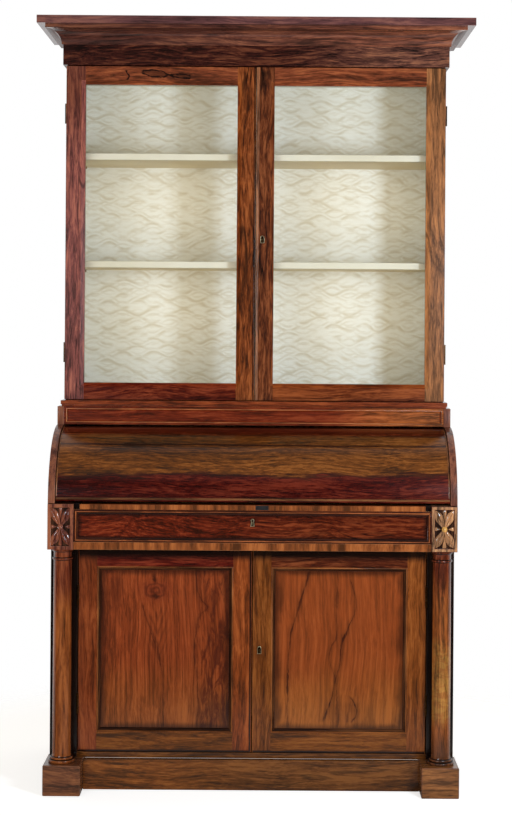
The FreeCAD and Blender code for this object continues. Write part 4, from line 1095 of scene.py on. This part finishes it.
def round_ring(bm, centre, radius, rise, count):
    """A ring of points round a line that faces forward."""
    turns = [2 * math.pi * n / count for n in range(count)]
    return [bm.verts.new(centre + Vector((radius * math.cos(t), -rise, radius * math.sin(t))))
            for t in turns]


def add_screw(bm, centre, radius):
    """A low domed screw head, facing forward."""
    rings = [round_ring(bm, centre, radius * reach, radius * rise, 14)
             for reach, rise in ((1, 0), (0.9, 0.25), (0.55, 0.4))]
    skin(bm, rings, True)
    bm.faces.new(rings[-1])


def leather_line():
    """A gilt line tooled round the writing leather."""
    low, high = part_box("writing_leather")
    inset = 18 * MM
    line = 2.2 * MM
    section = [(0, 0), (0, 0.25 * MM), (line, 0.25 * MM), (line, 0)]
    corners = [(low.x + inset, low.y + inset, high.z), (high.x - inset, low.y + inset, high.z),
               (high.x - inset, high.y - inset, high.z), (low.x + inset, high.y - inset, high.z)]
    moulding("leather_gilt_line", section, corners, UPWARD, True, {"x": gilt_finish, "y": gilt_finish},
             "slide")


# Doors

def doors():
    for side in ("left", "right"):
        glazed_stiles(side)
        glazed_rails(side)
        cupboard_frame(side)
        frame["nodes"][f"{side}_cupboard_door_panel"].data.materials[0] = panel_veneer(side)
        panel_moulding(side)


def tilted(face):
    """True on the chamfers round the glass, where the polish has gone dull."""
    return -0.97 < face.normal.y < -0.6


def glazed_stiles(side):
    """The outer stile of each glazed door is of another board than the meeting stile."""
    inner = f"{side}_meeting_stile"
    piece = polished(f"{side}_glazed_door_stiles", inner, "z", SOFT, front=meeting_wood(side),
                     flush=joint_lines(f"{side}_glazed_door_rails"))
    halfway = 280 * MM
    outer = f"{side}_stile"
    outer_finish = rosewood(outer, "z")
    if side == "left":
        outer_finish = fading_wood(outer, "left_stile_top", "z", 1.8, 2.06)
    paint_faces(piece, outer_finish, lambda face: abs(face.center.x) > halfway)
    paint_faces(piece, dull_wood(outer, "z"), lambda face: abs(face.center.x) > halfway and tilted(face))
    paint_faces(piece, dull_wood(inner, "z"), lambda face: abs(face.center.x) < halfway and tilted(face))


def glazed_rails(side):
    top_finish = looped_rail() if side == "left" else rosewood("top_rail", "x")
    piece = polished(f"{side}_glazed_door_rails", "top_rail", "x", SOFT, front=top_finish,
                     flush=joint_lines(f"{side}_glazed_door_rails"))
    halfway = 1600 * MM
    low_rail = f"{side}_low_rail"
    paint_faces(piece, rosewood(low_rail, "x"), lambda face: face.center.z < halfway)
    paint_faces(piece, dull_wood(low_rail, "x"), lambda face: face.center.z < halfway and tilted(face))
    paint_faces(piece, dull_wood("top_rail", "x"), lambda face: face.center.z > halfway and tilted(face))


def joint_lines(rails):
    """Where the shoulders of the rails meet the stiles, flush and with no eased edge."""
    tenon = 30 * MM
    low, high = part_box(rails)
    return (low.x + tenon, high.x - tenon)


def cupboard_frame(side):
    lines = joint_lines(f"{side}_cupboard_door_rails")
    hinge_stile = f"{side}_hinge_stile"
    stiles = polished(f"{side}_cupboard_door_stiles", hinge_stile, "z", SOFT,
                      front=cupboard_wood(hinge_stile, "z"), flush=lines)
    middle = 250 * MM
    paint_faces(stiles, cupboard_wood(f"{side}_closing_stile", "z"),
                lambda face: abs(face.center.x) < middle)
    top_rail = f"{side}_top_door_rail"
    rails = polished(f"{side}_cupboard_door_rails", top_rail, "x", SOFT,
                     front=cupboard_wood(top_rail, "x"), flush=lines)
    halfway = 400 * MM
    paint_faces(rails, low_door_finish, lambda face: face.center.z < halfway)


def paint_faces(piece, finish, chosen):
    """Give some faces of a piece another finish."""
    number = len(piece.data.materials)
    piece.data.materials.append(finish)
    for face in piece.data.polygons:
        if chosen(face):
            face.material_index = number


def panel_moulding(side):
    """A bead and an ovolo round the sunk panel of a cupboard door."""
    node = f"{side}_cupboard_door_moulding"
    low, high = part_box(node)
    rise = high.y - low.y
    bead = 2.2 * MM
    hollow = 7.2 * MM
    round_part = [(0, 0)] + arc((-bead, rise), bead, 0, 180, 6) + [(-2 * bead, 0)]
    ovolo = [(-2 * bead, 0)] + arc((-2 * bead, 0), hollow, 90, 180, 7)
    corners = frame_corners((low.x, low.z), (high.x, high.z), high.y)
    for name, section, wood in (("bead", round_part, "panel_bead"), ("ovolo", ovolo, "panel_shade")):
        grains = {axis: dull_wood(wood, axis) for axis in "xz"}
        piece = moulding(f"{side}_panel_{name}", section, corners, FORWARD, True, grains,
                         f"{side}_cupboard_door")
        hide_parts(node)


# Locks

def locks():
    """Each lock keeps its brass case. Its keyhole plate is dark, inside a bright thread of brass."""
    glazed_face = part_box("right_glazed_door_stiles")[0].y
    drawer_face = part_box("drawer_front")[0].y + 6 * MM
    cupboard_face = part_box("right_cupboard_door_stiles")[0].y
    lock("glazed_door_lock", glazed_face, shield)
    lock("drawer_lock", drawer_face, keyhole_outline)
    lock("cupboard_door_lock", cupboard_face, shield)


def lock(node, face, outline):
    bm = solid_copy(node)
    plate = [v.co.copy() for v in bm.verts if v.co.y < face - 0.5 * MM]
    low = Vector([min(p[n] for p in plate) for n in range(3)])
    high = Vector([max(p[n] for p in plate) for n in range(3)])
    for part in bm.faces:
        part.smooth = False
        part.material_index = 1 if part.calc_center_median().y < face - 0.1 * MM else 0
    body = frame["nodes"][node]["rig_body"]
    piece = new_piece(f"{node}_plates", bm, [lock_brass, plate_brass], body)
    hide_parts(node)
    bead = 0.8 * MM
    section = arc((0, 0), bead, 0, 180, 6)
    corners = [(x, low.y, z) for x, z in outline(low, high, bead)]
    moulding(f"{node}_thread", section, corners, FORWARD, True, {"x": thread_brass, "z": thread_brass},
             body)


def shield(low, high, inset):
    """The outline of a keyhole plate: square below, round above."""
    radius = (high.x - low.x) / 2 - inset
    middle = (low.x + high.x) / 2
    crown = high.z - inset - radius
    foot = [(middle - radius, low.z + inset), (middle + radius, low.z + inset)]
    return foot + arc((middle, crown), radius, 0, 180, 14)


def keyhole_outline(low, high, inset):
    """A round eye over a spreading skirt."""
    middle = (low.x + high.x) / 2
    eye = 4.3 * MM
    crown = high.z - inset - eye
    skirt = 4.9 * MM
    foot = [(middle - skirt, low.z + inset), (middle + skirt, low.z + inset)]
    return foot + arc((middle, crown), eye, -50, 230, 18)


# Columns

def column_profile():
    """(radius, height) from the foot up: two base rings, the tapering shaft, neck ring and cap ring."""
    tall = 616 * MM
    base = ring(36 * MM, 0, 9 * MM)
    shoe = ring(31.3 * MM, 9 * MM, 17 * MM)
    neck = ring(27.7 * MM, tall - 33 * MM, tall - 26 * MM)
    cap = ring(28 * MM, tall - 9 * MM, tall)
    shaft = [(29 * MM, 17 * MM), (28.6 * MM, 18.5 * MM), (27.4 * MM, 22 * MM), (27 * MM, 28 * MM)]
    steps = 6
    swell = [(26.98 * MM - 0.9 * MM * step / steps, 28 * MM + (tall - 68 * MM) * step / steps)
             for step in range(1, steps + 1)]
    top = [(26 * MM, tall - 26 * MM), (26 * MM, tall - 11 * MM), (27.4 * MM, tall - 9 * MM)]
    return base + shoe + shaft + swell + [(26 * MM, tall - 33 * MM)] + neck + top + cap


def ring(radius, low, high):
    """A bulging turned ring."""
    half = (high - low) / 2
    curve = half * 1.2
    back = math.sqrt(curve ** 2 - half ** 2)
    reach = math.degrees(math.asin(half / curve))
    return arc((radius - back, low + half), curve, -reach, reach, 8)


def columns():
    low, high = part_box("columns")
    inset = 40 * MM
    half_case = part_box("case_sides")[1].x
    bm = bmesh.new()
    for side in (-1, 1):
        turn_piece(bm, column_profile(), Vector((side * (half_case - inset), (low.y + high.y) / 2, low.z)))
    piece = curved_piece("columns_turned", bm, [column_wood()], "case", 40)
    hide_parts("columns")


def turn_piece(bm, profile, foot, steps=64):
    turns = [2 * math.pi * n / steps for n in range(steps)]
    rings = [[bm.verts.new(foot + Vector((radius * math.cos(t), radius * math.sin(t), height)))
              for t in turns] for radius, height in profile]
    skin(bm, rings, True)
    bm.faces.new(rings[0])
    bm.faces.new(rings[-1])


# Carved corner blocks

def corner_blocks():
    low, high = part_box("corner_blocks")
    margin = 10 * MM
    width = 74.5 * MM
    depth = 6 * MM
    # The sunk field round each rosette is near-black: painted shade in the recess.
    ground = rosewood("shaded_carved_ground", "z")
    blocks = polished("corner_blocks", "left_carved", "z", SOFT, sunk=(depth / 2, ground))
    paint_faces(blocks, rosewood("right_carved", "z"),
                lambda face: face.center.x > 0 and blocks.data.materials[face.material_index] != ground)
    paint_faces(blocks, rosewood("case_side", "z"), lambda face: abs(face.normal.x) > 0.7)
    half_width = width / 2 - margin
    half_height = (high.z - low.z) / 2 - margin
    for side, word in ((-1, "left"), (1, "right")):
        outer = high.x if side > 0 else low.x
        middle = Vector((outer - side * width / 2, low.y + depth, (low.z + high.z) / 2))
        rosette(word, middle, half_width, half_height)


def rosette(word, middle, half_width, half_height):
    """Four folded leaves to the corners, four small darts between them and a round boss."""
    bm = bmesh.new()
    relief = 6 * MM
    for across in (-1, 1):
        for rise in (-1, 1):
            tip = Vector((across * half_width * 0.97, 0, rise * half_height * 0.98))
            add_leaf(bm, middle, tip, 12 * MM, relief)
    for across, rise in ((-1, 0), (1, 0), (0, -1), (0, 1)):
        tip = Vector((across * half_width, 0, rise * half_height))
        add_dart(bm, middle, tip, 5.5 * MM, relief * 0.8)
    leaves = len(bm.faces)
    add_boss(bm, middle, 8 * MM, relief)
    bm.faces.ensure_lookup_table()
    for face in bm.faces[leaves:]:
        face.material_index = 1
    wood = carved_wood(f"{word}_carved")
    boss = rosewood("gold_boss", "z") if word == "right" else wood
    curved_piece(f"{word}_carved_rosette", bm, [wood, boss], "case", 48)


def add_blade(bm, middle, tip, stations, section, half_width, relief):
    """A carved blade laid from the middle to its tip. Stations are (share of the length, width, height)."""
    along = tip.normalized()
    side = Vector((along.z, 0, -along.x))
    rings = []
    for share, spread, lift in stations:
        centre = middle + tip * share
        reach = side * half_width * spread
        height = Vector(FORWARD) * relief * lift
        rings.append([bm.verts.new(centre + reach * across + height * rise) for across, rise in section])
    skin(bm, rings, False)


def add_leaf(bm, middle, tip, half_width, relief):
    """Two rounded lobes with a sharp fold between them."""
    section = ((-1, -0.05), (-0.86, 0.56), (-0.58, 0.76), (-0.3, 0.92), (-0.18, 0.86), (0, 0.3),
               (0.18, 0.86), (0.3, 0.92), (0.58, 0.76), (0.86, 0.56), (1, -0.05))
    stations = ((0.1, 0.3, 0.6), (0.2, 0.48, 0.85), (0.35, 0.78, 1), (0.5, 0.96, 1.05), (0.62, 1, 1.05),
                (0.74, 0.9, 1), (0.85, 0.66, 0.85), (0.93, 0.38, 0.65), (1, 0.04, 0.35))
    add_blade(bm, middle, tip, stations, section, half_width, relief)


def add_dart(bm, middle, tip, half_width, relief):
    """A small ridged point that widens toward the frame."""
    section = ((-1, -0.05), (-0.75, 0.5), (0, 0.85), (0.75, 0.5), (1, -0.05))
    stations = ((0.4, 0.05, 0.3), (0.55, 0.4, 0.75), (0.74, 0.8, 1), (0.88, 1, 0.9), (0.98, 0.9, 0.5))
    add_blade(bm, middle, tip, stations, section, half_width, relief)


def add_boss(bm, middle, radius, relief):
    profile = ((1, 0), (1, 0.9), (0.86, 1.05), (0.72, 0.95), (0.62, 1.0), (0.45, 1.25), (0.2, 1.38),
               (0.02, 1.4))
    rings = [round_ring(bm, middle, radius * reach, relief * rise, 24) for reach, rise in profile]
    skin(bm, rings, True)
    bm.faces.new(rings[-1])


# Carcass, plinth and feet

def carcass():
    paint = finishes["painted_shelf"]
    sides = polished("bookcase_sides", "case_side", "z", SOFT)
    paint_faces(sides, paint, lambda face: face.normal.x * face.center.x < -0.1)
    top = polished("bookcase_top_board", "cornice_frieze", "x", CRISP)
    paint_faces(top, paint, lambda face: face.normal.z < -0.5)
    bottom = polished("bookcase_bottom_board", "waist", "x", CRISP)
    paint_faces(bottom, paint, lambda face: face.normal.z > 0.5)
    polished("case_sides", "case_side", "z", SOFT)
    polished("case_top_board", "waist", "x", CRISP, shortest=8 * MM)
    polished("frieze_board", "frieze", "x", CRISP, front=fading_wood("frieze", "frieze_end", "x", 0.2, 0.5))
    frieze_bead()
    polished("cupboard_stiles", "shaded_stile", "z", SOFT)
    polished("cupboard_floor", "plinth", "x", CRISP)
    polished("plinth_boards", "plinth", "x", SOFT,
             front=fading_wood("left_plinth", "plinth", "x", -0.5, 0.1))
    feet = polished("foot_blocks", "left_foot", "x", WORN)
    paint_faces(feet, rosewood("right_foot", "x"), lambda face: face.center.x > 0)
    planked_back("bookcase_back_panel", 8)
    planked_back("case_back_panel", 8)
    painted_shelves()


def frieze_bead():
    """A thin bead round the sunk field of the frieze."""
    low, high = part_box("frieze_board")
    rim = 9 * MM
    bead = 1.7 * MM
    section = [(2 * bead, -0.5 * MM)] + arc((bead, 0), bead, 0, 180, 6) + [(0, -0.5 * MM)]
    corners = frame_corners((low.x + rim, low.z + rim), (high.x - rim, high.z - rim), low.y)
    moulding("frieze_bead", section, corners, FORWARD, True, both_grains("frieze_bead"), "case")


def planked_back(node, count):
    """A back made of upright boards, their edges rounded where they meet."""
    low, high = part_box(node)
    width = (high.x - low.x) / count
    bm = bmesh.new()
    woods = ("carcass", "pale_back_board", "dark_back_board")
    for n in range(count):
        start = low.x + n * width
        corners = bmesh.ops.create_cube(bm, size=1)["verts"]
        for vert in corners:
            vert.co = Vector((start + (vert.co.x + 0.5) * width,
                              low.y + (vert.co.y + 0.5) * (high.y - low.y),
                              low.z + (vert.co.z + 0.5) * (high.z - low.z)))
        for face in {face for vert in corners for face in vert.link_faces}:
            face.smooth = True
            face.material_index = (n * 2 + n // 3) % len(woods)
    mark_edges(bm, 5 * MM)
    piece = new_piece(f"{node}_boards", bm, [rosewood(wood, "z") for wood in woods],
                      frame["nodes"][node]["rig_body"])
    ease(piece, WORN, -1)
    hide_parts(node)


def painted_shelves():
    bm = solid_copy("bookcase_shelves")
    mark_edges(bm, 5 * MM)
    piece = new_piece("bookcase_shelves_painted", bm, [finishes["painted_shelf"]], "case")
    # The undersides get the warmer cream: painted shade, for the warm shadow under each shelf.
    paint_faces(piece, underside_shade_cream, lambda face: face.normal.z < -0.5)
    ease(piece, 2 * MM, 0)
    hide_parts("bookcase_shelves")


cornice()
meeting_bead()
meeting_lip()
cylinder()
drawer()
slide_and_bed()
doors()
locks()
columns()
corner_blocks()
carcass()


# Studio

def studio_floor():
    """A pale floor that keeps the shadow and fades into the white behind it."""
    tree = new_tree("studio_floor")
    camera_ray, passing_ray = [tree.add("ShaderNodeLightPath", output=f"Is {name} Ray")
                               for name in ("Camera", "Transmission")]
    x, y, _ = tree.axes(tree.place())
    reach = (x * x + y * y).root()
    glow = tree.blend(camera_ray.larger(passing_ray), (0, 0, 0, 1), (0.68, 0.68, 0.68, 1))
    tree.surface(Base_Color=seen(236, 236, 234), Roughness=0.9, Specular_IOR_Level=0.0,
                 Emission_Color=glow, Emission_Strength=1.0, Alpha=1 - reach.ramped(0.9, 1.5))
    half = 1.6
    mesh = bpy.data.meshes.new("studio_floor")
    mesh.from_pydata([(-half, -half, 0), (half, -half, 0), (half, half, 0), (-half, half, 0)], [],
                     [(0, 1, 2, 3)])
    mesh.materials.append(tree.owner)
    floor = bpy.data.objects.new("studio_floor", mesh)
    bpy.context.scene.collection.objects.link(floor)


def studio_world():
    """White behind the object for the camera and for reflections, a pale ceiling, a dim room in front,
    and for everything else a soft light from the front and a weaker one from behind."""
    world = bpy.data.worlds.new("studio_room")
    bpy.context.scene.world = world
    tree = Tree(world)
    camera_ray, glossy_ray, passing_ray = [tree.add("ShaderNodeLightPath", output=f"Is {name} Ray")
                                           for name in ("Camera", "Glossy", "Transmission")]
    _, toward_back, upward = tree.axes(tree.add("ShaderNodeTexCoord", output="Generated"))
    room = tree.blend(upward.ramped(0.4, 0.62), seen(36, 36, 38), (0.28, 0.28, 0.27, 1))
    reflected = tree.blend(toward_back.ramped(-0.2, 0.2), room, (1, 1, 1, 1))
    off_front = toward_back + upward * 0.15
    around = tree.blend(toward_back.ramped(-0.1, 0.3), (0.15, 0.12, 0.08, 1), (0.5, 0.48, 0.44, 1))
    front = tree.blend(off_front.ramped(-0.95, -0.63), (2.05, 1.8, 1.33, 1), around)
    fill = tree.blend(glossy_ray, front, reflected)
    shown = camera_ray.larger(passing_ray)
    light = tree.add("ShaderNodeBackground", inputs={"Color": tree.blend(shown, fill, (1, 1, 1, 1))})
    tree.add("ShaderNodeOutputWorld", inputs={"Surface": light})


def unlit_panes():
    """The window panes, left out of the lamps' light so that they don't mirror a bare lamp."""
    panes = bpy.data.collections.new("unlit_panes")
    for side in ("left", "right"):
        panes.objects.link(frame["nodes"][f"{side}_glazed_door_pane"])
    for pane in panes.collection_objects:
        pane.light_linking.link_state = "EXCLUDE"
    return panes


def softbox(name, place, aim, size, power, panes):
    """A lamp a little cooler than the room."""
    lamp = bpy.data.lights.new(name, "AREA")
    lamp.color = (0.84, 1.0, 1.18)
    lamp.shape = "RECTANGLE"
    lamp.size, lamp.size_y = size
    lamp.energy = power
    holder = bpy.data.objects.new(name, lamp)
    holder.location = place
    holder.rotation_euler = (Vector(aim) - Vector(place)).to_track_quat("-Z", "Y").to_euler()
    holder.light_linking.receiver_collection = panes
    bpy.context.scene.collection.objects.link(holder)


def camera():
    """Level camera in front of the desk, its frame shifted down as a view camera's is."""
    picture = (512, 816)
    focal = 1715
    eye_level_pixel = (270, 319)
    roll = -0.4
    data = bpy.data.cameras.new("photo_camera")
    data.sensor_width = 36
    data.lens = focal / picture[1] * data.sensor_width
    data.shift_x = (picture[0] / 2 - eye_level_pixel[0]) / picture[1]
    data.shift_y = (eye_level_pixel[1] - picture[1] / 2) / picture[1]
    holder = bpy.data.objects.new("photo_camera", data)
    holder.location = (0.046, -5.19, 1.3686)
    holder.rotation_euler = (math.radians(90), math.radians(roll), 0)
    bpy.context.scene.collection.objects.link(holder)
    bpy.context.scene.camera = holder


studio_floor()
studio_world()
panes = unlit_panes()
softbox("right_softbox", (1.27, -2.13, 1.5), (0.0, -0.1, 1.2), (0.3, 0.6), 27, panes)
softbox("left_softbox", (-1.89, -3.64, 1.5), (0.0, -0.1, 1.2), (0.75, 0.75), 22, panes)
camera()
bpy.context.scene.view_settings.view_transform = "Standard"
